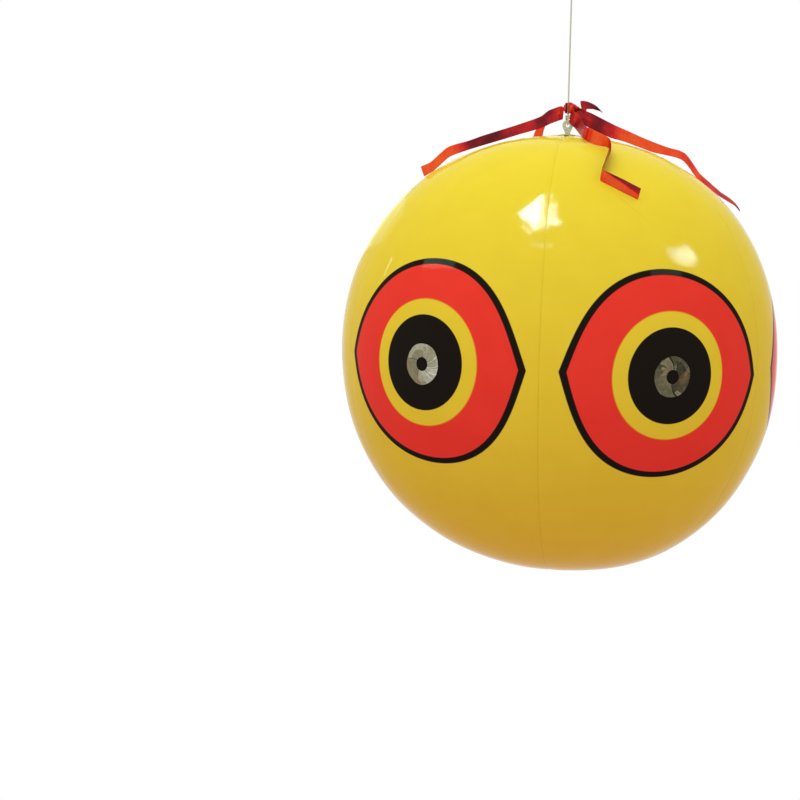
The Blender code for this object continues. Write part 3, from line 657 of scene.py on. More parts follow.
# %% [markdown]
# ## The run and the loop
# The twine runs straight up through the middle of the strips to a small knot. Above the knot it is a loop
# that goes over a branch, and it bears on the branch at the origin. Both could be one line. They are two,
# because the run turns with the ball and the loop stays on its branch.

# %% The run
KNOT_HEIGHT = 0.132
KNOT_RADIUS = 0.0033
KNOT_Z = APEX_Z + KNOT_HEIGHT
RUN_BOTTOM = APEX_Z + HITCH_TOP + GAP
RUN_TOP = KNOT_Z - KNOT_RADIUS - GAP
RUN_POINTS = 60

run, run_line = twine("twine_run", np.linspace((0, 0, RUN_BOTTOM), (0, 0, RUN_TOP), RUN_POINTS))
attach(run, "cord_run")
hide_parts("cord_run")
print("run, m:", round(length_of(run_line), 4))

# %% The loop
LOOP_WIDTH = 0.018
LOOP_STEPS = 10


def loop_route():
    """Points of one side of the loop, mirrored for the other, over a round crown."""
    leg_reach = KNOT_RADIUS + 2 * GAP
    leg_spread = CORD_RADIUS + GAP
    leg_rise = (leg_reach ** 2 - leg_spread ** 2) ** 0.5
    half = LOOP_WIDTH / 2
    crown = CORD_RADIUS
    waist = (KNOT_Z + crown) * 0.45 - half * 0.3
    right = [(leg_spread, KNOT_Z + leg_rise), (leg_spread * 1.5, KNOT_Z + leg_rise * 1.6),
             (half * 0.45, KNOT_Z + leg_rise * 2.8), (half * 0.85, waist),
             (half, crown - half * 1.05), (half * 0.93, crown - half * 0.55),
             (half * 0.6, crown - half * 0.16)]
    knots = [(x, 0, z) for x, z in right + [(0, crown)]] + [(-x, 0, z) for x, z in right[::-1]]
    return smooth_route(knots, LOOP_STEPS)


loop, loop_line = twine("twine_loop", loop_route())
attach(loop, "hanging_loop")
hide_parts("hanging_loop")
print("loop, m:", round(length_of(loop_line), 4))

# %% [markdown]
# ## The knot
# The knot is pulled so tight that its turns can't be told apart. Tying it turn by turn would cost many faces
# that nobody sees, so it is a ball into which one winding groove is cut.

# %% The knot
KNOT_GROOVE = 0.0005
KNOT_POLE = 0.02
KNOT_ROWS, KNOT_SIDES = 60, 72
GROOVE_WEAVE, GROOVE_SLANT, GROOVE_NARROWNESS = 1.5, 4, 1.4


def knot():
    """A ball of tight turns: radius less a groove that winds round with the slope."""
    slope = np.linspace(KNOT_POLE, np.pi - KNOT_POLE, KNOT_ROWS)[:, None]
    turn = np.linspace(0, 2 * np.pi, KNOT_SIDES, endpoint=False)[None, :]
    wave = np.sin(GROOVE_WEAVE * np.pi * np.sin(turn) + GROOVE_SLANT * slope)
    radius = KNOT_RADIUS - KNOT_GROOVE * np.sin(slope) * np.abs(wave) ** GROOVE_NARROWNESS
    rings = np.stack([radius * np.sin(slope) * np.cos(turn), radius * np.sin(slope) * np.sin(turn),
                      KNOT_Z - radius * np.cos(slope) * np.ones_like(turn)], -1)
    piece = tube("twine_knot", rings)
    add_values(piece, "valley", np.concatenate([(np.abs(wave) ** 2).ravel(), [0, 0]]))
    piece.data.materials.append(TWINE)
    return piece


loop_knot = knot()
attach(loop_knot, "loop_knot")
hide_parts("loop_knot")
print("knot across, mm:", 2000 * KNOT_RADIUS)

# %% [markdown]
# ## The printed film
# Each of the six panels carries one printed eye, drawn with circles: a black pupil, a yellow ring, a red
# field that runs out into a blunt point at both sides, and a black line round it. A picture wrapped on the
# panel would blur from close by. Here the material works the circles out from a map that gives every point of
# the panel its place on the flat film, so their edges stay sharp.

# %% Print sizes and colours
EYE_DROP = 0.0042
PUPIL_RADIUS = 0.038
RING_RADIUS = 0.0503
RED_RADIUS, RED_POINT, RED_FLARE = 0.0783, 0.0102, radians(22)
LINE_RADIUS, LINE_POINT, LINE_FLARE = 0.0833, 0.0114, radians(21)
PRINT_EDGE = 0.0005
ORANGE_EDGE = 0.0007
FILM_YELLOW = srgb(243, 213, 59)
FILM_YELLOW_DEEP = srgb(239, 208, 54)
PRINT_RED = srgb(247, 64, 50)
PRINT_RED_DEEP = srgb(242, 60, 47)
PRINT_ORANGE = srgb(235, 125, 35)
PRINT_BLACK = srgb(26, 22, 18)
PRINT_BLACK_WORN = srgb(34, 29, 23)
# Darker yellow of the welds, also used as painted shade along the film's crease
WELD_AND_CREASE_SHADE_YELLOW = srgb(206, 172, 40)
print("the red field is", 2000 * RED_RADIUS, "mm high on the flat film")

# %% Rings of ink


def distance_from_middle(right, up):
    """Root of the sum of two squares."""
    return (right * right + up * up).root()


def pointed_radius(angle, radius, point, flare):
    """A circle with a point at both sides: its radius plus a point that dies out with the angle."""
    return radius + (angle * (-1 / flare)).grown() * point


def inside(edge, reach):
    """1 inside an edge and 0 outside, with a soft step as wide as the print's edge."""
    return ((edge - reach) / PRINT_EDGE + 0.5).held()


def eye_print(finish, yellow, red, black):
    """The eye over the yellow film: the line, the red field, the ring's orange rim, the ring, the pupil."""
    right, up = finish.flat_place("print")
    reach = distance_from_middle(right, up)
    angle = up.size().angle_over(right.size())
    ring_reach = distance_from_middle(*finish.flat_place("rings"))
    layers = ((pointed_radius(angle, LINE_RADIUS, LINE_POINT, LINE_FLARE), reach, black),
              (pointed_radius(angle, RED_RADIUS, RED_POINT, RED_FLARE), reach, red),
              (RING_RADIUS + ORANGE_EDGE, ring_reach, PRINT_ORANGE),
              (RING_RADIUS, ring_reach, yellow),
              (PUPIL_RADIUS, ring_reach, black))
    colour = yellow
    for edge, distance, ink in layers:
        colour = finish.mix(inside(edge, distance), colour, ink)
    return colour


print("the line's points stand out by, mm:", 1000 * LINE_POINT)

# %% [markdown]
# The film itself is glossy and hardly mirrors anything but a window. It was folded once, and one faint bent
# crease is left above the left eye. It is a bump and a line of painted shade in the material, because it is
# too fine to dent.

# %% Film finish
CREASE_HEIGHT, CREASE_SIDE = 0.1405, -0.0262
CREASE_SLOPE, CREASE_BEND = -0.67, 11.7
CREASE_REACH, CREASE_WIDTH = 0.026, 0.0007
WELD_TINT = 0.22
# Share of painted shade on the crease line
CREASE_LINE_SHADE = 0.45


def folded_line(finish):
    """1 on the crease and 0 off it. Its side is a start, plus a slope times the height, plus a bend."""
    right, up = finish.flat_place("print")
    along = up - CREASE_HEIGHT
    aside = (right - CREASE_SIDE - along * CREASE_SLOPE - along * along * CREASE_BEND).size()
    line = (1 - aside / CREASE_WIDTH).held() * (1 - along.size() / CREASE_REACH).held()
    return line * finish.attribute("creased")


def film_finish():
    """Glossy printed film: the eye's ink over yellow, faint mottle, a thin dark line at the weld."""
    finish = Finish("film_finish", {"Specular IOR Level": 0.012})
    vector = finish.place()
    mottle = finish.noise(vector, scale=38, detail=3.0)
    grain = finish.noise(vector, scale=900)
    cloudy = (mottle * 1.6 - 0.3).held()
    yellow = finish.mix(cloudy, FILM_YELLOW_DEEP, FILM_YELLOW)
    red = finish.mix(cloudy, PRINT_RED_DEEP, PRINT_RED)
    black = finish.mix(grain, PRINT_BLACK, PRINT_BLACK_WORN)
    printed = eye_print(finish, yellow, red, black)
    welded = finish.mix(finish.attribute("weld") * WELD_TINT, printed, WELD_AND_CREASE_SHADE_YELLOW)
    crease = folded_line(finish)
    # The crease line gets painted shade over the print and the welds
    finish.feed("Base Color", finish.mix(crease * CREASE_LINE_SHADE, welded, WELD_AND_CREASE_SHADE_YELLOW))
    finish.feed("Roughness", mottle * 0.02 + grain * 0.015 + 0.035)
    crinkle = finish.noise(vector, scale=420, detail=3.0, roughness=0.6)
    slack = finish.attribute("slack")
    finish.bump(mottle * 0.7 + crinkle * (slack * 0.22 + 0.04) - crease * 0.2, distance=0.0004, strength=0.5)
    return finish.material


FILM = film_finish()
print("finish:", FILM.name, "with", len(FILM.node_tree.nodes), "nodes")

# %% [markdown]
# ## An uneven ball
# No blown-up ball is an even one. The photograph shows where this one stands out from the even form or falls
# short of it. Moving points by hand would tear the welds, so a few broad bulges are added to the film's
# distance from the centre, and whatever lies on the film takes the same ones.

# %% Bulges
# Direction in the upright plane through X, in degrees, then height in metres and spread in degrees
BULGES = ((-63, 0.0052, 27), (-127, -0.0022, 30), (19, -0.0018, 25), (173, 0.0018, 25))
BULGE_START, BULGE_FADE = 0.024, 0.055


def bulges(direction):
    """The ball's unevenness: heights times bell curves of the angle from a direction, none at the poles."""
    total = 0.0
    for turn, height, spread in BULGES:
        towards = np.array((np.cos(np.radians(turn)), 0.0, np.sin(np.radians(turn))))
        angle = np.degrees(np.arccos(np.clip(direction @ towards, -1, 1)))
        total = total + height * np.exp(-(angle / spread) ** 2)
    from_pole = np.arccos(np.clip(np.abs(direction[..., 2]), 0, 1)) * BALL_RADIUS
    share = np.clip((from_pole - BULGE_START) / BULGE_FADE, 0, 1)
    return total * share * share * (3 - 2 * share)


print("bulges and hollows, mm:", [1000 * height for _, height, _ in BULGES])

# %% [markdown]
# ## Slack film
# The panels are cut flat, so the round ball pulls each one tight along its middle and leaves it slack along
# the welds. The slack shows as small puckers square to the weld, and as pleats round the poles. A bump in the
# material would do from afar, but a highlight breaks on real dents, so they are dents in the mesh.

# %% Puckers at the welds
GORE_COUNT = 6
PUCKER_DEPTH, PUCKER_SPACING, PUCKER_REACH = 0.00016, 0.0085, 0.011
PUCKER_SEED = 40
# Waves along a weld, in radians per metre, by which the puckers come and go, stray along it and lean
WANDER_RATES = (31, 67, 113)
STRAY_RATE, STRAY_REACH = 150, 0.0022
LEAN_RATE, LEAN_SHARE = 80, 0.12
PUCKER_MEAN, PUCKER_LEAST, PUCKER_CONTRAST = 0.25, 0.06, 1.5


def seam_puckers(along, from_seam, seam):
    """Folds square to a weld: a wave along it whose strength wanders, dying out away from the weld."""
    chance = np.random.default_rng(PUCKER_SEED + int(seam))
    starts = chance.uniform(0, 2 * np.pi, 6)
    wander = sum(np.sin(along * rate + start) for rate, start in zip(WANDER_RATES, starts))
    strength = np.clip(wander / len(WANDER_RATES) + PUCKER_MEAN, PUCKER_LEAST, 1) ** PUCKER_CONTRAST
    stray = STRAY_REACH * np.sin(along * STRAY_RATE + starts[3])
    lean = LEAN_SHARE * from_seam * np.sin(along * LEAN_RATE + starts[4])
    wave = np.cos(2 * np.pi * (along + stray + lean) / PUCKER_SPACING + starts[5])
    return PUCKER_DEPTH * strength * wave * np.exp(-from_seam / PUCKER_REACH)


print("puckers along half a weld, about:", round(np.pi * BALL_RADIUS / 2 / PUCKER_SPACING))

# %% Welds, pleats and waves
SEAM_GROOVE_DEPTH, SEAM_GROOVE_REACH = 0.00010, 0.0008
SEAM_VALLEY_DEPTH, SEAM_VALLEY_REACH = 0.00020, 0.010
PLEATS, PLEAT_DEPTH, PLEAT_REACH = 30, 0.0003, 0.030
PLEAT_PLACE, PLEAT_START, PLEAT_FADE = 0.024, 0.008, 0.02
PLEAT_STRAY, STRAY_WAVES, STRAY_START = 2.2, 3, 1.0
UNEVEN_DEPTH, UNEVEN_SIZE, UNEVEN_SEED = 0.00022, 0.075, 11


def pleats(latitude, direction):
    """Pleats round a pole: a wave round the ball that is strongest one pleat place away from the pole."""
    from_pole = (np.pi / 2 - np.abs(latitude)) * BALL_RADIUS
    longitude = np.arctan2(direction[..., 1], direction[..., 0])
    wave = np.cos(PLEATS * longitude + PLEAT_STRAY * np.sin(STRAY_WAVES * longitude + STRAY_START))
    strength = np.exp(-((from_pole - PLEAT_PLACE) / PLEAT_REACH) ** 2)
    return PLEAT_DEPTH * wave * strength * np.clip((from_pole - PLEAT_START) / PLEAT_FADE, 0, 1)


def film_lift(index, side, latitude, direction):
    """How far the film stands off its even form, and how far each point lies from its weld.

    Puckers, pleats, waves and bulges are added up, less a groove and a wider valley at each weld.
    """
    from_seam = (np.pi / GORE_COUNT - np.abs(side)) * BALL_RADIUS * np.cos(latitude)
    along = latitude * BALL_RADIUS + 0 * side
    left = seam_puckers(along, from_seam, index)
    right = seam_puckers(along, from_seam, (index + 1) % GORE_COUNT)
    puckers = np.where(side < 0, left, right)
    groove = SEAM_GROOVE_DEPTH * np.exp(-(from_seam / SEAM_GROOVE_REACH) ** 2)
    valley = SEAM_VALLEY_DEPTH * np.exp(-(from_seam / SEAM_VALLEY_REACH) ** 2)
    waves = UNEVEN_DEPTH * ripple(direction * BALL_RADIUS, UNEVEN_SIZE, UNEVEN_SEED)
    return puckers + pleats(latitude, direction) + waves + bulges(direction) - groove - valley, from_seam


print("a weld lies deeper than the film beside it by, mm:", 1000 * (SEAM_GROOVE_DEPTH + SEAM_VALLEY_DEPTH))

# %% [markdown]
# ## Where each eye sits
# The print is laid on each panel by machine and stretched with it, so no eye sits quite like the next. An
# exact circle on every panel would look drawn by a computer. Each eye gets its own slip, turn and size, and
# the pull of the film round its corners.

# %% Prints on the panels
# For each panel: slip to the right and up in metres, turn in degrees, share of the full size, then how far
# the film pulls the outline out to three corners, to a slant and to three turned corners, in metres
EYE_FITS = ((0.0036, -0.0007, -1.2, 1.0, 0.0012, 0, 0),
            (0.0148, 0.001, 0, 0.93, 0.0010, 0, 0),
            (0.001, 0, 0, 1, 0, 0, 0),
            (0, 0.002, 0, 1, 0, 0, 0),
            (-0.0160, 0, 0, 0.93, -0.0010, 0, 0),
            (0.0027, 0.0034, -1.4, 0.99, -0.0015, -0.0011, -0.00055))
RING_SLIPS = ((0.0019, -0.0011), (0.0150, 0.0010), (0.001, 0), (0, 0.002), (-0.0150, 0), (0.0051, 0.0029))


def fitted(flat_right, flat_up, fit):
    """The flat film's two numbers in a print that is slipped, turned, resized and pulled out of round."""
    slip_right, slip_up, turn, size, corners, slant, twist = fit
    x = flat_right - slip_right
    y = flat_up - slip_up
    turn = np.radians(turn)
    x, y = (x * np.cos(turn) + y * np.sin(turn)) / size, (y * np.cos(turn) - x * np.sin(turn)) / size
    angle = np.arctan2(y, x)
    pull = corners * np.cos(3 * angle) + slant * np.sin(2 * angle) + twist * np.sin(3 * angle)
    share = 1 - pull / np.maximum(np.hypot(x, y), PUPIL_RADIUS)
    return x * share, y * share


print("eyes:", len(EYE_FITS))

# %% [markdown]
# ## Six gores
# Each panel is a separate piece of film, pointed at both ends, and welded to its neighbours along fins that
# turn in. One round mesh with drawn lines would hide that, so each panel is its own grid, with more columns
# near the welds, where the film is busiest.

# %% One gore
FRONT_SEAM_LONGITUDE = -4.7
TIP_HOLE_RADIUS = 0.0085
FILM_THICKNESS = 0.0002
SEAM_HALF_GAP = 0.000012
WELD_FIN_DEPTH = 0.003
GORE_ROWS = 230
GORE_COLUMNS = 60
COLUMN_CROWDING = 0.32
COLUMN_REACH = 0.988
WELD_COLUMNS = np.array((0.992, 0.9955, 0.998, 1.0))
WELD_LINE_WIDTH = 0.0005
SLACK_REACH = 0.009
CREASED_GORE = 0


def gore_longitude(index):
    """Longitude of a panel's middle, in radians from the camera's side."""
    return radians(FRONT_SEAM_LONGITUDE + (index + 0.5) * 360 / GORE_COUNT)


def gore_direction(longitude, latitude):
    """Directions from the ball's centre, as on a globe whose longitude 0 faces the camera."""
    level = np.cos(latitude)
    parts = [level * np.sin(longitude), -level * np.cos(longitude), np.sin(latitude) + 0 * longitude]
    return np.stack(parts, -1)


def gore_columns():
    """Shares of a panel's half width from -1 to 1: crowded to the sides, with four more at each weld."""
    share = np.linspace(-1, 1, GORE_COLUMNS + 1)
    share = share * (1 + COLUMN_CROWDING - COLUMN_CROWDING * share ** 2) * COLUMN_REACH
    return np.concatenate([-WELD_COLUMNS[::-1], share, WELD_COLUMNS])[None, :]


def with_fins(values):
    """A grid of numbers with its first and last column repeated for the fins."""
    return np.pad(values, ((0, 0), (1, 1)), mode="edge")


def gore(index):
    """One panel: rows from tip to tip, columns from weld to weld, and a fin that turns in at each weld."""
    tip = np.pi / 2 - TIP_HOLE_RADIUS / BALL_RADIUS
    latitude = np.linspace(tip, -tip, GORE_ROWS)[:, None]
    half = np.pi / GORE_COUNT - SEAM_HALF_GAP / (BALL_RADIUS * np.cos(latitude))
    side = half * gore_columns()
    direction = gore_direction(gore_longitude(index) + side, latitude)
    lift, from_seam = film_lift(index, side, latitude, direction)
    points = over_film(direction, lift)
    fins = over_film(direction[:, [0, -1]], lift[:, [0, -1]] - WELD_FIN_DEPTH)
    points = np.concatenate([fins[:, :1], points, fins[:, 1:]], 1)
    side = with_fins(side)
    from_seam = with_fins(from_seam)
    piece = make_piece(f"film_gore_{index + 1}", points, grid_faces(*points.shape[:2], flip=True))
    flat_right = side * BALL_RADIUS * np.cos(latitude)
    flat_up = latitude * BALL_RADIUS + EYE_DROP + 0 * side
    slip_right, slip_up = RING_SLIPS[index]
    add_map(piece, "print", *fitted(flat_right, flat_up, EYE_FITS[index]))
    add_map(piece, "rings", flat_right - slip_right, flat_up - slip_up)
    add_values(piece, "weld", np.exp(-(from_seam / WELD_LINE_WIDTH) ** 2))
    add_values(piece, "slack", np.exp(-from_seam / SLACK_REACH))
    add_values(piece, "creased", np.full(side.shape, float(index == CREASED_GORE)))
    piece.data.materials.append(FILM)
    thicken(piece, FILM_THICKNESS, -1)
    return piece


print("columns in one gore, with its fins:", gore_columns().size + 2)

# %% All six
gores = [gore(index) for index in range(GORE_COUNT)]
for number, piece in enumerate(gores, 1):
    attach(piece, "balloon")
    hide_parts(f"gore_{number}")
print("quads in one gore:", len(gores[0].data.polygons))

# %% [markdown]
# ## Foil stickers
# A ring of reflective foil is stuck on each pupil by hand. It could be printed with the eye, but it is a
# thing of its own: flat foil on a round ball, which creases into facets that fan out from its hole. Each
# facet mirrors another part of the room, and that is painted as a reflection level for each facet, with a
# painted highlight or painted shade along each crease.

# %% Foil finish
# Colours of the foil's painted reflection, from nearly black to bright silver gold
FOIL_REFLECTION_STOPS = [(0.0, srgb(44, 40, 26)), (0.22, srgb(92, 88, 64)), (0.45, srgb(140, 136, 106)),
              (0.7, srgb(184, 182, 164)), (1.0, srgb(252, 250, 238))]
FOIL_COPPER = srgb(132, 92, 62)


def foil_finish():
    """Crinkled foil: each crease facet has a painted reflection from nearly black to bright silver gold."""
    finish = Finish("foil_finish", {"Metallic": 0.9})
    vector = finish.place()
    fine = finish.noise(vector, scale=420, detail=3.0, roughness=0.6)
    painted_reflection = finish.ramp(FOIL_REFLECTION_STOPS, (finish.attribute("tone") + (fine - 0.5) * 0.30).held())
    warm = (finish.noise(vector, scale=95, detail=1.0) * 5 - 2.7).held()
    finish.feed("Base Color", finish.mix(warm * 0.45, painted_reflection, FOIL_COPPER))
    finish.feed("Roughness", fine * 0.2 + 0.14)
    finish.bump(fine, distance=0.0002, strength=0.4)
    return finish.material


FOIL = foil_finish()
print("finish:", FOIL.name)

# %% Facets of the foil
STICKER_RADIUS = 0.016
STICKER_HOLE_RADIUS = 0.0055
STICKER_WEDGES = 13
WEDGE_LEAN = 0.45
CUT_RANGE = (0.3, 0.8)
CUT_TILT = 0.8
CUT_SLANT = 0.3
# Painted highlight or painted shade along each crease of the foil
CREASE_GLINT_AND_SHADE = 0.9
CREASE_LINE = 0.0004


def facets(turn, radius, seed):
    """Painted reflection of each facet: wedges with straight sides round the hole, each cut once across."""
    chance = np.random.default_rng(seed)
    edges = np.sort(chance.uniform(0, 2 * np.pi, STICKER_WEDGES))
    spread = (radius - STICKER_HOLE_RADIUS) / (STICKER_RADIUS - STICKER_HOLE_RADIUS)
    leaning = turn + chance.uniform(-WEDGE_LEAN, WEDGE_LEAN, 1) * spread
    wedge = np.searchsorted(edges, leaning % (2 * np.pi)) % STICKER_WEDGES
    cut = chance.uniform(*CUT_RANGE, STICKER_WEDGES)[wedge]
    tilt = chance.uniform(-CUT_TILT, CUT_TILT, STICKER_WEDGES)[wedge] * np.sin(2 * turn)
    inner = chance.uniform(-1, 1, STICKER_WEDGES)[wedge]
    outer = chance.uniform(-1, 1, STICKER_WEDGES)[wedge]
    from_edge = np.abs(leaning[..., None] % (2 * np.pi) - edges).min(-1) * radius
    # Each crease line gets a painted highlight or a painted shade
    sign = chance.choice((-1, 1), STICKER_WEDGES)[wedge]
    crease = CREASE_GLINT_AND_SHADE * np.exp(-(from_edge / CREASE_LINE) ** 2) * sign
    return np.where(spread < cut + CUT_SLANT * tilt, inner, outer) + crease


print("wedges in one sticker:", STICKER_WEDGES)

# %% One sticker
STICKER_THICKNESS = 0.00012
STICKER_LIFT = 0.00052
STICKER_SLIPS = ((0.0016, -0.0016), (0.0170, -0.0004), (0.0012, 0.0010),
                 (-0.0008, -0.0012), (-0.0150, 0.0004), (0.0062, 0.0018))
# Mean painted reflection of each sticker, from dark to bright
STICKER_REFLECTION_LEVELS = (0.20, 0.50, 0.55, 0.60, 0.45, 0.50)
FACET_SHARE = 0.20
CRINKLE_DEPTH, CRINKLE_SIZE = 0.00016, 0.009
FAN_DEPTH, FAN_FOLDS, FAN_STRAY = 0.00008, 11, 3
STICKER_ROWS, STICKER_SIDES = 30, 240
FACET_SEED, CRINKLE_SEED = 70, 90
# Waves round the sticker's rim, their size as a share of its radius, and how far each sticker shifts them
RIM_WAVES = ((2, 0.018, 1), (5, 0.012, 2))


def eye_sticker(index):
    """A ring on the film: directions at a growing angle from its middle, dented by its creases."""
    middle = unit(gore_direction(np.array(gore_longitude(index)), np.array(-EYE_DROP / BALL_RADIUS)))
    right = unit(np.cross((0, 0, 1), middle))
    above = np.cross(middle, right)
    slip_right, slip_up = STICKER_SLIPS[index]
    middle = unit(middle + (right * slip_right + above * slip_up) / BALL_RADIUS)
    turn = np.linspace(0, 2 * np.pi, STICKER_SIDES, endpoint=False)[None, :]
    uneven = sum(share * np.sin(waves * turn + shift * index) for waves, share, shift in RIM_WAVES)
    rim = STICKER_RADIUS * (1 + uneven)
    radius = STICKER_HOLE_RADIUS + (rim - STICKER_HOLE_RADIUS) * np.linspace(0, 1, STICKER_ROWS)[:, None]
    tone = facets(turn + 0 * radius, radius, FACET_SEED + index)
    flat = np.stack([radius * np.cos(turn), radius * np.sin(turn), 0 * radius * turn], -1)
    fan = FAN_DEPTH * np.sin(FAN_FOLDS * turn + FAN_STRAY * np.sin(2 * turn))
    crease = CRINKLE_DEPTH * ripple(flat, CRINKLE_SIZE, CRINKLE_SEED + index) + fan
    bend = (radius / BALL_RADIUS)[..., None]
    offset = right * np.cos(turn)[..., None] + above * np.sin(turn)[..., None]
    direction = middle * np.cos(bend) + offset * np.sin(bend)
    points = over_film(direction, STICKER_LIFT + crease + bulges(direction))
    piece = make_piece(f"foil_ring_{index + 1}", points, grid_faces(*points.shape[:2], round_columns=True))
    add_values(piece, "tone", STICKER_REFLECTION_LEVELS[index] + FACET_SHARE * tone)
    piece.data.materials.append(FOIL)
    thicken(piece, STICKER_THICKNESS, 0)
    return piece


for index in range(GORE_COUNT):
    sticker = eye_sticker(index)
    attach(sticker, "balloon")
    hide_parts(f"eye_sticker_{index + 1}")
print("stickers:", GORE_COUNT)

# %% [markdown]
# ## Patches, tab and valve
# Round patches of the same film close the panels' tips. The tab is clear soft PVC, welded on the top patch,
# and the valve is a milky soft moulding. They could be modelled again, but the frame's own parts have the
# right form already, so they only get their finish.

# %% Patch finish
PATCHES = ("top_patch", "bottom_patch")


def patch_finish():
    """The same yellow film as the panels, slightly uneven from the weld."""
    finish = Finish("patch_film_finish", {"Specular IOR Level": 0.05})
    vector = finish.place()
    mottle = finish.noise(vector, scale=60, detail=3.0)
    finish.feed("Base Color", finish.mix(mottle, FILM_YELLOW_DEEP, FILM_YELLOW))
    finish.feed("Roughness", mottle * 0.1 + 0.12)
    finish.bump(finish.noise(vector, scale=220), distance=0.0003, strength=0.5)
    return finish.material


def dress(nodes, material):
    """Give nodes of the frame a new finish."""
    for node in nodes:
        for slot in frame["nodes"][node].material_slots:
            slot.material = material


dress(PATCHES, patch_finish())
print("patches dressed:", len(PATCHES))

# %% Soft PVC finishes
TAB_TINT = srgb(214, 218, 186)
VALVE_TINT = srgb(226, 228, 220)
CLOUD_SHARE = 0.9
VALVE_PARTS = ("valve_base", "valve_stem", "valve_plug", "valve_flap")


def clear_finish(name, tint, clearness):
    """Clear soft plastic: partly see-through, faintly tinted, with a fine uneven surface."""
    finish = Finish(name, {"Transmission Weight": clearness, "IOR": 1.5})
    vector = finish.place()
    cloud = finish.noise(vector, scale=140)
    finish.feed("Base Color", finish.mix(cloud, tint, tuple(CLOUD_SHARE * value for value in tint)))
    finish.feed("Roughness", cloud * 0.12 + 0.22)
    finish.bump(finish.noise(vector, scale=500), distance=0.0002, strength=0.3)
    return finish.material


VALVE_PVC = clear_finish("valve_pvc_finish", VALVE_TINT, 0.35)
dress(("hang_tab",), clear_finish("tab_pvc_finish", TAB_TINT, 0.45))
dress(VALVE_PARTS, VALVE_PVC)
print("soft PVC parts dressed:", 1 + len(VALVE_PARTS))

# %% [markdown]
# ## The plug's strap
# A small strap ties the plug to the valve's stem, so that it isn't lost. A stiff strap would tear off one of
# them when the plug is pulled. This one is a band of the valve's soft plastic, attached to neither body.

# %% The plug's strap
STRAP_LOW, STRAP_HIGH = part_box("plug_strap")
STRAP_WIDTH = 0.0035
STRAP_THICKNESS = 0.0007
STRAP_INSET = 0.0004
CORNER_ROUNDNESS = 0.4
STRAP_STEPS, STRAP_SIDES = 40, 28


def rounded(wave, size):
    """A sine or cosine pushed out towards a square with rounded corners, of a given size."""
    return np.sign(wave) * np.abs(wave) ** CORNER_ROUNDNESS * size / 2


def plug_strap():
    """A band with rounded edges along half an ellipse that stands out sideways from rim and cap."""
    reach = STRAP_HIGH[0] - STRAP_LOW[0] - STRAP_THICKNESS
    high = STRAP_HIGH[2] - STRAP_THICKNESS / 2
    low = STRAP_LOW[2] + STRAP_THICKNESS / 2
    angle = np.linspace(-np.pi / 2, np.pi / 2, STRAP_STEPS)
    height = (high + low) / 2 + (high - low) / 2 * np.sin(angle)
    line = np.stack([STRAP_LOW[0] + STRAP_INSET + reach * np.cos(angle), 0 * angle, height], 1)
    square = np.cross(unit(np.gradient(line, axis=0)), (0, 1, 0))
    corner = np.linspace(0, 2 * np.pi, STRAP_SIDES, endpoint=False)
    wide = rounded(np.cos(corner), STRAP_WIDTH)[None, :, None] * np.array((0, 1, 0))
    deep = rounded(np.sin(corner), STRAP_THICKNESS)[None, :, None] * square[:, None]
    piece = tube("plug_strap_band", line[:, None] + wide + deep)
    piece.data.materials.append(VALVE_PVC)
    return piece


strap = plug_strap()
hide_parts("plug_strap")
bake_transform(strap)
print("strap stands out to x, mm:", round(1000 * STRAP_HIGH[0], 1))

# %% [markdown]
# ## Metallised strips
# The strips are thin film with a mirror coat under red lacquer: orange red where they face the light, maroon
# where they face the dark. A true mirror would need the whole room round it to look right. Here each strip
# carries a painted reflection of light and shade along its length, and the coat only adds its gloss.

# %% Strip finish
# Painted reflection of the mirror coat: orange red where it faces the light, maroon where it faces the dark
STRIP_STOPS = [(0.0, srgb(240, 98, 48)), (0.25, srgb(232, 72, 44)), (0.5, srgb(196, 44, 46)),
               (0.72, srgb(136, 36, 46)), (1.0, srgb(72, 30, 34))]
LACQUER_RED = (0.8, 0.15, 0.15, 1.0)


def strip_finish():
    """Mirror coat under red lacquer: a painted reflection from orange red to maroon, with fine streaks."""
    finish = Finish("strip_film_finish", {"Metallic": 0.55, "Specular IOR Level": 0.2,
                                          "Specular Tint": LACQUER_RED})
    run_map = finish.node("ShaderNodeUVMap", {"uv_map": "run"})
    streak = finish.noise(finish.stretched(run_map, (90.0, 260.0, 1.0)), scale=1.0, detail=3.0, roughness=0.6)
    cross = finish.noise(finish.stretched(run_map, (420.0, 60.0, 1.0)), scale=1.0)
    level = finish.attribute("shade") + (streak - 0.5) * 0.30 + (cross - 0.5) * 0.22
    finish.feed("Base Color", finish.ramp(STRIP_STOPS, level.held()))
    finish.feed("Roughness", streak * 0.2 + 0.14)
    finish.bump(streak * 0.5 + cross * 0.5, distance=0.0004, strength=0.45)
    return finish.material


STRIP_FILM = strip_finish()
print("finish:", STRIP_FILM.name)

# %% [markdown]
# ## One ribbon
# A strip is stiff enough to stand on edge and to hold a fold, so it isn't cloth that falls limp, and no
# simulation gives it. Each strip is a surface between its two long edges, which are drawn through a few
# places. A little curl bows it across, and crumples push it in and out where it was creased at the knot.

# %% Ribbons from two edges
STRIP_THICKNESS = 0.00008
STRIP_STEPS = 14
STRIP_COLUMNS = 17
STRIP_EASE = 0.36
ROOT_REACH = 0.010
CRUMPLE_SIZE, CRUMPLE_DEPTH = 0.011, 0.00012
CREASE_SIZE, CREASE_SHARE = 0.0045, 0.4
SHADE_PATCH_SIZE = 0.016
SHADE_UNEVENNESS, ROOT_UNEVENNESS = 0.10, 0.25


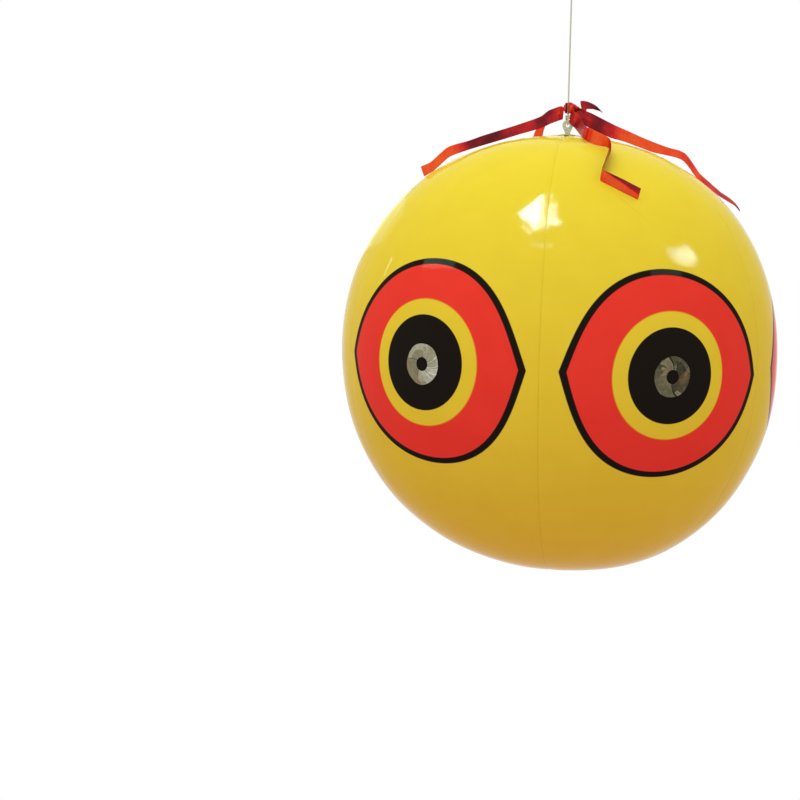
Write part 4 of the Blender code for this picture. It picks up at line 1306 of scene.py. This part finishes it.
def ribbon(name, upper, lower, shade, curl=0.0, crumple=CRUMPLE_DEPTH, root_crumple=0.0008, seed=0,
           shadow=None):
    """A strip: points on straight lines from the lower to the upper edge, pushed out by bow and crumples."""
    stations = np.concatenate([np.asarray(upper), np.asarray(lower), np.asarray(shade)[:, None]], 1)
    line = smooth_route(stations, STRIP_STEPS, STRIP_EASE)
    high, low, tone = line[:, 0:3], line[:, 3:6], line[:, 6:]
    up = np.linspace(0, 1, STRIP_COLUMNS)[None, :]
    flat = low[:, None] + up[..., None] * (high - low)[:, None]
    course = high / 2 + low / 2
    normal = unit(np.cross(unit(np.gradient(course, axis=0)), high - low))
    reach = reach_along(course)[:, None]
    width = np.linalg.norm(high - low, axis=1)[:, None]
    near_root = np.exp(-(reach / ROOT_REACH) ** 2)
    depth = crumple + root_crumple * near_root
    rough = depth * ripple(flat, CRUMPLE_SIZE, seed)
    rough = rough + CREASE_SHARE * depth * ripple(flat, CREASE_SIZE, seed + 1)
    bow = (1 - (2 * up - 1) ** 2) * curl * width
    points = flat + normal[:, None] * (bow + rough)[..., None]
    piece = make_piece(name, points, grid_faces(*points.shape[:2]))
    add_map(piece, "run", reach + 0 * up, up * width)
    # The painted shade gets random patches, most near the root, and a painted shadow where a fold gives one
    unevenness = SHADE_UNEVENNESS + ROOT_UNEVENNESS * near_root
    tone = tone + unevenness * ripple(flat, SHADE_PATCH_SIZE, seed + 2)
    if shadow:
        tone = tone + shadow(reach[-1] - reach, up)
    add_values(piece, "shade", tone)
    piece.data.materials.append(STRIP_FILM)
    thicken(piece, STRIP_THICKNESS, 0)
    area = float((np.diff(reach, axis=0) * (width[1:] + width[:-1]) / 2).sum())
    print(name, "length, mm:", round(1000 * reach[-1, 0]),
          "width, mm:", (1000 * width[::STRIP_STEPS, 0]).round(1))
    return piece, reach[-1, 0], area


print("places across each strip:", STRIP_COLUMNS)

# %% Strips on the frame
ROOT_CLEARANCE = 0.0006
ROOT_ABOVE = 0.0004
ROOT_BELOW = 0.0050


def lay_strip(name, node, upper, lower, shade, **form):
    """A tail of the tied strips: its ribbon, on its own body, in place of its plain solid."""
    piece, length, area = ribbon(name, upper, lower, shade, **form)
    body = node if node in frame["bodies"] else "balloon"
    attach(piece, body)
    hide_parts(node)


def edge(pixels, bearings):
    """Places of an edge from its pixels and the bearings of the planes in which it stands."""
    bearings = np.broadcast_to(bearings, len(pixels))
    return np.array([on_bearing(pixel, bearing) for pixel, bearing in zip(pixels, bearings)])


def root_edges(node):
    """Two places at a strip's root, over and under the hinge at which it leaves the middle."""
    joint = next(j for j in frame["joints"] if j["child"] == node)
    hinge = np.array(joint["pos_m"])
    hinge = hinge + ROOT_CLEARANCE * unit(hinge * (1, 1, 0))
    return hinge + np.array((0, 0, ROOT_ABOVE)), hinge - np.array((0, 0, ROOT_BELOW))


# %% [markdown]
# ## Long strip at the left
# It stands on edge in one upright plane, runs along the film and bends down over the shoulder. Its painted
# reflection is maroon near the knot and bright orange red towards its end. One plane is enough to place both
# of its edges.

# %% Long strip at the left
LONG_LEFT_BEARING = -163
LONG_LEFT_UPPER = ((564.2, 107.3), (560.6, 106.2), (548.9, 110.4), (541.5, 116.0), (532.7, 119.6),
                   (515.5, 125.4), (497.3, 131.1), (482.0, 135.9), (468.6, 140.7), (456.5, 144.0),
                   (450.4, 146.0), (446.0, 148.3), (439.9, 153.6), (430.3, 162.2), (420.7, 166.5))
LONG_LEFT_LOWER = ((563.0, 119.3), (560.0, 120.2), (550.8, 123.6), (545.6, 126.0), (535.7, 129.7),
                   (518.7, 134.6), (500.1, 140.3), (484.8, 144.8), (471.0, 149.0), (459.0, 153.0),
                   (453.0, 155.3), (448.2, 157.8), (442.7, 162.7), (433.5, 171.0), (424.1, 176.6))
LONG_LEFT_SHADE = (0.58, 0.46, 0.70, 0.80, 0.62, 0.55, 0.82, 0.88, 0.72, 0.30, 0.16, 0.12, 0.08, 0.04, 0.04)

lay_strip("strip_film_long_left", "strip_long_left", edge(LONG_LEFT_UPPER, LONG_LEFT_BEARING),
          edge(LONG_LEFT_LOWER, LONG_LEFT_BEARING), LONG_LEFT_SHADE, seed=3)

# %% [markdown]
# ## Short strip at the left
# It leaves the knot backwards and drops behind the ball, so only a few millimetres of it show under the long
# one. What shows is read off the photograph. The rest is set by the film that it lies on, as a course from
# the top pole outwards, because no pixel shows it.

# %% A course over the film


def polar_place(out, azimuth, lift):
    """Points given by their way from the top pole along the film, their bearing in degrees and their lift."""
    elevation = np.pi / 2 - out / BALL_RADIUS
    bearing = np.radians(azimuth)
    level = np.cos(elevation)
    direction = np.stack([level * np.cos(bearing), level * np.sin(bearing), np.sin(elevation)], -1)
    return over_film(direction, lift)


def polar_edges(stations):
    """Two edges from a course over the film: way out, bearing, lift, turn on its own line and width.

    A turn above zero brings the first edge nearer to the film and the second further off it.
    """
    out, azimuth, lift, turn, width = np.asarray(stations, float).T
    course = polar_place(out, azimuth, lift)
    along = unit(np.gradient(course, axis=0))
    flat = unit(np.cross(along, unit(course - BALL_CENTRE)))
    tilt = np.radians(turn)[:, None]
    half = (flat * np.cos(tilt) + np.cross(along, flat) * np.sin(tilt)) * width[:, None] / 2
    return course + half, course - half


print("20 mm out from the pole the film lies at", polar_place(np.array(0.02), 0.0, 0.0).round(4))

# %% Short strip at the left
SHORT_LEFT_BEARING = 150
SHORT_LEFT_UPPER = ((562.0, 109.5), (553.5, 113.0), (547.5, 118.0), (545.8, 124.5), (543.6, 131.0),
                    (541.5, 137.0))
SHORT_LEFT_LOWER = ((561.0, 116.5), (551.5, 120.0), (542.0, 122.5), (537.5, 126.8), (534.6, 132.5),
                    (532.0, 138.0))
SHORT_LEFT_END = ((0.0465, 147, 0.0042, 25, 0.010), (0.0560, 145, 0.0022, 8, 0.010))
SHORT_LEFT_SHADE = (0.5, 0.5, 0.6, 0.5, 0.3, 0.22, 0.18, 0.12, 0.12)

root_high, root_low = root_edges("strip_short_left")
upper_end, lower_end = polar_edges(SHORT_LEFT_END)
lay_strip("strip_film_short_left", "strip_short_left",
          np.vstack([root_high, edge(SHORT_LEFT_UPPER, SHORT_LEFT_BEARING), upper_end]),
          np.vstack([root_low, edge(SHORT_LEFT_LOWER, SHORT_LEFT_BEARING), lower_end]),
          SHORT_LEFT_SHADE, seed=13)

# %% [markdown]
# ## Long strip at the right
# Its painted reflection starts maroon and turns bright. It then twists to lie almost flat and runs down the
# shoulder to a pointed end.
# A strip that twists has its two edges in different planes, so each place along an edge has its own bearing.

# %% Long strip at the right
LONG_RIGHT_UPPER = ((577.5, 107.0), (585.2, 110.6), (592.6, 113.8), (603.9, 119.6), (615.7, 125.6),
                    (627.8, 130.9), (641.6, 137.2), (655.5, 142.9), (669.4, 147.9), (678.6, 150.2),
                    (684.5, 153.0), (688.9, 157.6), (693.6, 164.4), (699.9, 173.6), (709.2, 182.0),
                    (720.3, 191.8), (729.5, 198.0), (736.0, 204.0), (740.1, 210.5))
LONG_RIGHT_LOWER = ((574.5, 116.5), (581.0, 121.8), (588.0, 127.2), (600.0, 133.2), (611.5, 138.2),
                    (624.0, 141.6), (638.5, 147.0), (652.5, 152.2), (667.0, 155.4), (676.0, 157.6),
                    (681.5, 159.8), (686.0, 163.8), (690.7, 170.0), (696.2, 177.6), (706.4, 185.6),
                    (717.5, 195.0), (727.7, 201.3), (735.2, 206.2), (739.6, 211.5))
LONG_RIGHT_UPPER_BEARINGS = (-14, -14, -14, -13, -12.5, -12, -12, -12, -11, -10, -9, -8, -6.5, -5, -4, -3,
                             -3, -4, -5)
LONG_RIGHT_LOWER_BEARINGS = (-14, -14, -14, -13, -12.5, -12, -12, -12, -12, -12, -12, -11.5, -10, -9, -8, -7,
                             -6.5, -6, -5)
LONG_RIGHT_SHADE = (0.55, 0.66, 0.74, 0.78, 0.42, 0.14, 0.12, 0.12, 0.14, 0.2, 0.34, 0.3, 0.24, 0.2, 0.42,
                    0.5, 0.5, 0.6, 0.7)

lay_strip("strip_film_long_right", "strip_long_right", edge(LONG_RIGHT_UPPER, LONG_RIGHT_UPPER_BEARINGS),
          edge(LONG_RIGHT_LOWER, LONG_RIGHT_LOWER_BEARINGS), LONG_RIGHT_SHADE, seed=23)

# %% [markdown]
# ## Short strip at the back
# Behind the long right strip a short dark one goes off to the back, and only a dark line of it shows over the
# ball's outline. So little shows that its whole course is set over the film, from its root on the hinge.

# %% Short strip at the back
BACK_RIGHT = ((0.0110, 45, 0.0207, 75, 0.009), (0.0200, 45, 0.0140, 60, 0.010),
              (0.0300, 45, 0.0100, 50, 0.010), (0.0480, 45, 0.0062, 50, 0.010),
              (0.0620, 45, 0.0048, 40, 0.010), (0.0740, 45, 0.0040, 30, 0.008))
BACK_RIGHT_SHADE = (0.7, 0.8, 0.85, 0.88, 0.9, 0.9, 0.9)

root_high, root_low = root_edges("strip_back_right")
lower_course, upper_course = polar_edges(BACK_RIGHT)
lay_strip("strip_film_back_right", "strip_back_right", np.vstack([root_high, upper_course]),
          np.vstack([root_low, lower_course]), BACK_RIGHT_SHADE, seed=33)

# %% [markdown]
# ## Folded strip at the front
# It is folded twice. Its first run faces the camera, its second stands on edge and looks like a line, and its
# third faces the camera again, bright below with a painted shadow above a diagonal crease. Three flat pieces
# would part at the folds, so it is one ribbon whose edges say how far each place stands off the film.

# %% Folded strip at the front
FRONT_ROOT_UPPER_BEARING = -66
FRONT_ROOT_LOWER_BEARINGS = (-80, -80, -71)
FRONT_ROOT_UPPER = ((571.2, 109.5), (576.2, 113.0), (581.5, 119.0))
FRONT_ROOT_LOWER = ((568.8, 118.2), (570.2, 123.8), (574.8, 128.2))
# Pixels of the rest of each edge, with its lift over the film in millimetres
FRONT_FOLD_UPPER = (((585.2, 126.4), 13.0), ((590.5, 128.2), 12.0), ((597.0, 131.4), 11.3),
                    ((603.9, 134.8), 10.8), ((609.4, 138.4), 10.2), ((611.2, 143.0), 10.2),
                    ((611.0, 150.5), 10.2), ((608.6, 157.0), 10.2), ((605.4, 164.0), 10.2),
                    ((603.6, 169.6), 10.2), ((606.0, 171.2), 10.2), ((622.5, 178.8), 10.2),
                    ((632.0, 183.8), 10.2), ((641.0, 188.4), 10.2))
FRONT_FOLD_LOWER = (((582.4, 137.6), 4.0), ((587.5, 141.6), 1.2), ((595.3, 144.6), 0.8),
                    ((602.0, 146.2), 0.8), ((607.6, 147.6), 0.8), ((608.2, 151.0), 0.8),
                    ((605.2, 159.5), 0.8), ((602.4, 167.0), 0.8), ((600.8, 173.5), 0.8),
                    ((600.2, 179.6), 0.8), ((602.4, 181.6), 0.8), ((618.6, 190.0), 0.8),
                    ((628.6, 195.0), 0.8), ((638.0, 199.7), 0.8))
FRONT_FOLD_SHADE = (0.72, 0.45, 0.62, 0.5, 0.22, 0.12, 0.10, 0.12, 0.7, 0.8, 0.8, 0.72, 0.3, 0.14, 0.16,
                    0.2, 0.24)
FOLDED_RUN_LENGTH = 0.037
FOLD_DROP = 0.62
FOLD_SHADOW, FOLD_SHADOW_FADE = 0.72, 0.30
FOLD_SHADOW_EDGE, FOLD_SHADOW_START = 0.05, 0.06


def film_edge(stations):
    """Places of an edge from its pixels and its lifts over the film in millimetres."""
    return np.array([on_film(pixel, lift / 1000) for pixel, lift in stations])


def fold_shadow(from_end, across_share):
    """Dark above a crease that drops from the upper edge at the bend to near the lower corner at the end."""
    share = np.clip(1 - from_end / FOLDED_RUN_LENGTH, 0, 1)
    above = np.clip((across_share - 1 + FOLD_DROP * share) / FOLD_SHADOW_EDGE, 0, 1)
    return above * (FOLD_SHADOW - FOLD_SHADOW_FADE * share) * np.clip(share / FOLD_SHADOW_START, 0, 1)


lay_strip("strip_film_front_fold", "strip_front_fold",
          np.vstack([edge(FRONT_ROOT_UPPER, FRONT_ROOT_UPPER_BEARING), film_edge(FRONT_FOLD_UPPER)]),
          np.vstack([edge(FRONT_ROOT_LOWER, FRONT_ROOT_LOWER_BEARINGS), film_edge(FRONT_FOLD_LOWER)]),
          FRONT_FOLD_SHADE, seed=43, crumple=0.00006, root_crumple=0.0011, shadow=fold_shadow)

# %% [markdown]
# ## Curled end
# A short end of film curls up behind the knot like a leaf, and stays where it is. It is the same ribbon once
# more, in one upright plane, and a stronger curl bows it across.

# %% Curled end
CURL_BEARING = 15
CURL_UPPER = ((572.0, 106.5), (576.5, 111.5), (581.5, 110.5), (580.4, 101.4), (585.9, 101.2), (591.9, 103.4),
              (596.5, 106.1), (599.7, 109.2), (602.5, 112.6))
CURL_LOWER = ((572.5, 111.5), (577.5, 116.5), (585.5, 115.0), (586.6, 109.4), (588.6, 109.0), (592.8, 109.2),
              (596.9, 110.3), (599.9, 111.3), (602.3, 112.9))
CURL_SHADE = (0.5, 0.5, 0.45, 0.5, 0.62, 0.78, 0.95, 1.0, 1.0)

lay_strip("strip_film_curled_end", "strip_curled_end", edge(CURL_UPPER, CURL_BEARING),
          edge(CURL_LOWER, CURL_BEARING), CURL_SHADE, curl=0.12, seed=53)

# %% [markdown]
# ## The crumpled middle
# Where the strips are tied, the film is gathered round the twine in deep folds, and crumpled lobes of it
# bulge out between the tails. Real film is layer on layer there, and every layer would cut the next one when
# a tail lifts. The middle is one sleeve instead: broad lobes give its outline, narrow creases cut into it,
# and it is open at the front left, where the twine shows.

# %% Lobes of the middle
BUNDLE_LOW, BUNDLE_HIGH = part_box("strip_bundle")
MIDDLE_RADIUS = 0.0044
MIDDLE_FOLD_DEPTH, MIDDLE_FOLDS, MIDDLE_FOLD_LEAN = 0.0008, 2.5, 3
WAIST_AT_ENDS, WAIST_GAIN, WAIST_ROUNDNESS = 0.55, 0.45, 0.6
# Bearing and spread in degrees, bulge in metres, place and half height as shares of the middle's height
MIDDLE_LOBES = ((-12, 30, 0.0058, 0.35, 0.40), (-50, 30, 0.0052, 0.55, 0.45), (110, 34, 0.0014, 0.50, 0.45))


def middle_reach(turn, share):
    """The mean radius less the folds, times the waist, plus lobes that die out sideways and up and down."""
    waist = WAIST_AT_ENDS + WAIST_GAIN * np.sin(np.pi * share) ** WAIST_ROUNDNESS
    fold = MIDDLE_FOLD_DEPTH * np.sin(MIDDLE_FOLDS * turn + MIDDLE_FOLD_LEAN * share) ** 2
    reach = (MIDDLE_RADIUS - fold) * waist
    for bearing, spread, bulge, middle, half_height in MIDDLE_LOBES:
        aside = ((np.degrees(turn) - bearing + 180) % 360 - 180) / spread
        reach = reach + bulge * np.exp(-aside ** 2 - ((share - middle) / half_height) ** 2)
    return reach


print("middle spans, mm:", round(1000 * (BUNDLE_HIGH[2] - BUNDLE_LOW[2]), 1))

# %% Gathered middle
MIDDLE_OPENING = np.radians((-138, -92))
MIDDLE_CREASE_DEPTH = 0.0004
# Creases round the axis, how far they lean as they rise, and how far they stray or how strong they are
WIDE_CREASES, WIDE_LEAN, WIDE_STRAY = 4.5, 2.2, 0.9
FINE_CREASES, FINE_LEAN, FINE_SHARE = 7, -5, 0.6
OPENING_TUCK, OPENING_TUCK_SPREAD = 0.0012, 0.16
RIM_WAVE, RIM_WAVE_SIZE = 0.0005, 0.004
MIDDLE_BASE_SHADE, CREASE_SHADE, PATCH_SHADE = 0.86, 0.34, 0.30
MIDDLE_PATCH_SIZE = 0.007
MIDDLE_ROWS, MIDDLE_COLUMNS = 80, 230
MIDDLE_SEED = 61


def around_axis(radius, turn, height):
    """Points at a radius and a turn round the ball's axis."""
    return np.stack([radius * np.cos(turn), radius * np.sin(turn), height + 0 * turn], -1)


def gathered_middle():
    """A sleeve round the twine, creased by folds that wander as they rise, open where the twine shows."""
    share = np.linspace(0, 1, MIDDLE_ROWS)[:, None]
    turn = np.linspace(MIDDLE_OPENING[1], MIDDLE_OPENING[0] + 2 * np.pi, MIDDLE_COLUMNS)[None, :]
    stray = WIDE_STRAY * np.sin(2 * turn + 4 * share)
    creases = np.abs(np.sin(WIDE_CREASES * turn + WIDE_LEAN * share + stray))
    creases = creases + FINE_SHARE * np.abs(np.sin(FINE_CREASES * turn + FINE_LEAN * share))
    reach = middle_reach(turn, share) - MIDDLE_CREASE_DEPTH * (1 - creases) * np.sin(np.pi * share) ** 0.5
    from_opening = np.minimum(turn - turn[0, 0], turn[0, -1] - turn)
    reach = reach - OPENING_TUCK * np.exp(-(from_opening / OPENING_TUCK_SPREAD) ** 2)
    height = BUNDLE_LOW[2] + (BUNDLE_HIGH[2] - BUNDLE_LOW[2]) * share
    outer = around_axis(reach, turn, height)
    outer[..., 2] += RIM_WAVE * ripple(outer, RIM_WAVE_SIZE, MIDDLE_SEED) * np.sin(np.pi * share)
    bore = np.full((2, 1), CORD_RADIUS + GAP)
    rings = np.concatenate([outer, around_axis(bore, turn, height[[-1, 0]])])
    rows, columns = rings.shape[:2]
    first_side = np.arange(rows) * columns
    sides = [first_side[::-1].tolist(), (first_side + columns - 1).tolist()]
    piece = make_piece("strip_film_middle", rings, grid_faces(rows, columns, round_rows=True) + sides)
    add_map(piece, "run", rings[..., 2], np.broadcast_to(turn, (rows, columns)) * MIDDLE_RADIUS)
    # Painted shade: darker in the grooves between creases, with random patches of painted reflection
    tone = MIDDLE_BASE_SHADE - CREASE_SHADE * creases
    tone = tone + PATCH_SHADE * ripple(outer, MIDDLE_PATCH_SIZE, MIDDLE_SEED + 1)
    add_values(piece, "shade", np.concatenate([tone, tone[:2]]))
    piece.data.materials.append(STRIP_FILM)
    return piece


middle_film = gathered_middle()
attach(middle_film, "balloon")
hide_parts("strip_bundle")
print("quads in the middle:", len(middle_film.data.polygons))

# %% [markdown]
# ## Floor and world
# The ball hangs well over a plain floor in even light. A white room would throw light from all sides and
# flatten the ball. So the floor's paint and the world are dimmer and warmer than white, and only rays of the
# camera, of reflections and through clear things see them as white.

# %% White as seen
WHITE_RAYS = ("Is Camera Ray", "Is Glossy Ray", "Is Transmission Ray")


def white_as_seen(nodes, plain, white_kind, output):
    """Mix a plain shader with white for rays of the camera, of reflections and through clear things."""
    camera_ray, glossy_ray, clear_ray = (nodes.node("ShaderNodeLightPath", output=ray) for ray in WHITE_RAYS)
    seen = camera_ray.or_more(glossy_ray).or_more(clear_ray)
    white = nodes.node(white_kind, {}, {"Color": (1, 1, 1, 1), "Strength": 1.0})
    nodes.fill(output.inputs["Surface"], nodes.node("ShaderNodeMixShader", {}, {0: seen, 1: plain, 2: white}))


print("kinds of ray that see white:", len(WHITE_RAYS))

# %% Floor
FLOOR_Z = -1.70
ROOM_SIZE = 9.0
FLOOR_PAINT = (0.69, 0.42, 0.56, 1)


def room_floor():
    """A square floor in matt paint, large enough to reach past the picture."""
    corners = np.array([(-1, -1, 0), (1, -1, 0), (1, 1, 0), (-1, 1, 0)], float) * ROOM_SIZE / 2
    floor = make_piece("floor", corners + np.array((0, 0, FLOOR_Z)), [(0, 1, 2, 3)])
    paint = Finish("floor_paint", {"Base Color": FLOOR_PAINT, "Roughness": 0.9})
    plain = Wire(paint, paint.shader.outputs[0])
    white_as_seen(paint, plain, "ShaderNodeEmission", paint.tree.nodes["Material Output"])
    floor.data.materials.append(paint.material)
    return floor


floor = room_floor()
print("floor lies at, m:", FLOOR_Z)

# %% World
# From straight below, as 0, to straight above, as 1
SKY_STOPS = [(0.0, (0.44, 0.29, 0.40)), (0.45, (0.48, 0.36, 0.45)), (0.62, (0.84, 0.90, 0.84))]


def studio_world():
    """Soft even light from above, dimmer and warmer from below, behind a white background."""
    world = bpy.data.worlds.new("studio")
    world.use_nodes = True
    nodes = Nodes(world.node_tree)
    direction = nodes.node("ShaderNodeTexCoord", output="Generated")
    rise = nodes.node("ShaderNodeSeparateXYZ", {}, {"Vector": direction}, "Z")
    background = nodes.tree.nodes["Background"]
    nodes.fill(background.inputs["Color"], nodes.ramp(SKY_STOPS, rise * 0.5 + 0.5))
    nodes.fill(background.inputs["Strength"], 1.0)
    plain = Wire(nodes, background.outputs[0])
    white_as_seen(nodes, plain, "ShaderNodeBackground", nodes.tree.nodes["World Output"])
    return world


bpy.context.scene.world = studio_world()
print("world:", bpy.context.scene.world.name)

# %% [markdown]
# ## Lamps
# One large soft lamp lights the ball from above, and it doesn't show in reflections. The highlights on the
# film are windows of the real room. Small lamps stand for them. Each is placed by the pixel where its
# highlight is seen: the line of sight is mirrored in the film there, and the pixels beside it and below it,
# mirrored too, say how large the lamp is and how it is turned. Guessing their places from the room would take
# far longer.

# %% Lamps
TOP_LAMP_PLACE = np.array((-0.5, -1.1, 1.5))
TOP_LAMP_SIZE = (1.6, 1.2)
TOP_LAMP_RADIANCE = 2.25
TOP_LAMP_COLOUR = (0.87, 1.0, 0.82)


def lamp(name, place, target, size, radiance, colour, right=(1, 0, 0)):
    """A rectangular lamp that faces its target. Its power is its radiance times pi times its area."""
    data = bpy.data.lights.new(name, "AREA")
    data.shape = "RECTANGLE"
    data.size, data.size_y = size
    data.energy = radiance * np.pi * size[0] * size[1]
    data.color = colour
    item = bpy.data.objects.new(name, data)
    bpy.context.scene.collection.objects.link(item)
    back = unit(np.asarray(place) - np.asarray(target))
    right = across(np.asarray(right, float), back)
    item.matrix_world = matrix_of(np.stack([right, np.cross(back, right), back], 1), place)
    return item


top_lamp = lamp("top_lamp", TOP_LAMP_PLACE, BALL_CENTRE, TOP_LAMP_SIZE, TOP_LAMP_RADIANCE, TOP_LAMP_COLOUR)
top_lamp.visible_glossy = False
print("power of the top lamp, W:", round(top_lamp.data.energy, 1))

# %% Lines of sight mirrored in the film
LAMP_DISTANCE = 2.5
NORMAL_STEP = 1e-4
NORMAL_SIDE = np.array((0.3, 0.2, 0.9))


def film_normal(spot):
    """The direction square to the film: the cross product of two short steps over it, turned outwards."""
    outward = unit(spot - BALL_CENTRE)
    side = across(NORMAL_SIDE, outward)
    steps = []
    for way in (side, np.cross(outward, side)):
        ahead, back = (over_film(spot + way * step - BALL_CENTRE) for step in (NORMAL_STEP, -NORMAL_STEP))
        steps.append(ahead - back)
    normal = unit(np.cross(*steps))
    return normal * np.sign(normal @ outward)


def mirror_place(pixel):
    """The spot on the film at a pixel, and where a lamp that shows there stands: the line of sight
    mirrored in the film, gone a distance.
    """
    spot = on_film(pixel)
    normal = film_normal(spot)
    line = line_of_sight(pixel)
    return spot, spot + (line - 2 * normal * (line @ normal)) * LAMP_DISTANCE


def mirrored_pixel(pixel, step):
    """How far the mirrored place moves for a step of one pixel: half the way from one back to one ahead."""
    back, ahead = (mirror_place(np.asarray(pixel) + sign * np.asarray(step))[1] for sign in (-1, 1))
    return (ahead - back) / 2


print("a window for the ball's middle stands at", mirror_place(BALL_PIXEL)[1].round(2))

# %% Windows
# Pixel of each highlight's middle, its width and height in pixels, its turn in degrees, its lamp's radiance
TOP_GLINTS = (((536.6, 215.8), (20, 27), 28, 560), ((541.0, 214.5), (12, 34), 3, 380),
              ((529.0, 230.0), (2.4, 14), 32, 560), ((543.0, 199.5), (8, 4), -20, 500),
              ((553.0, 204.5), (3, 8), 30, 520), ((552.4, 212.5), (4, 6), 0, 420),
              ((553.8, 222.5), (5, 8), 25, 420), ((560.4, 221.5), (2.4, 6), 0, 480),
              ((541.5, 246.5), (12, 2), 0, 260))
SIDE_GLINTS = (((681.0, 251.5), (28, 7), -10, 70), ((684.0, 257.0), (34, 9), -10, 70),
               ((685.0, 263.0), (24, 6), -8, 60), ((685.0, 254.0), (20, 19), 40, 120))
FAINT_GLINTS = (((387.0, 267.0), (1.6, 22), -25, 22), ((386.0, 222.0), (14, 50), -38, 1.3),
                ((440.0, 262.5), (30, 9), 0, 30), ((666.0, 273.5), (30, 5), 0, 22))
GLINTS = TOP_GLINTS + SIDE_GLINTS + FAINT_GLINTS
GLINT_COLOUR = (0.62, 1.0, 0.82)


def window(number, pixel, pixels, turn, radiance):
    """A lamp whose mirror image in the film covers so many pixels, turned, round a pixel."""
    spot, place = mirror_place(pixel)
    level, rise = np.cos(radians(turn)), np.sin(radians(turn))
    right = mirrored_pixel(pixel, (level, -rise))
    down = mirrored_pixel(pixel, (rise, level))
    size = (np.linalg.norm(right) * pixels[0], np.linalg.norm(down) * pixels[1])
    return lamp(f"window_{number}", place, spot, size, radiance, GLINT_COLOUR, right)


# The windows light the gores alone, because strips and tab would mirror them too brightly
glossy_film = bpy.data.collections.new("glossy_film")
for piece in gores:
    glossy_film.objects.link(piece)
for number, glint in enumerate(GLINTS, 1):
    item = window(number, *glint)
    item.visible_diffuse = False
    item.light_linking.receiver_collection = glossy_film
print("windows that show in the film:", len(GLINTS))

# %% [markdown]
# ## Finish
# The look needs the plain Standard view, in which a colour renders about as it is written.

# %% View
bpy.context.scene.view_settings.view_transform = "Standard"
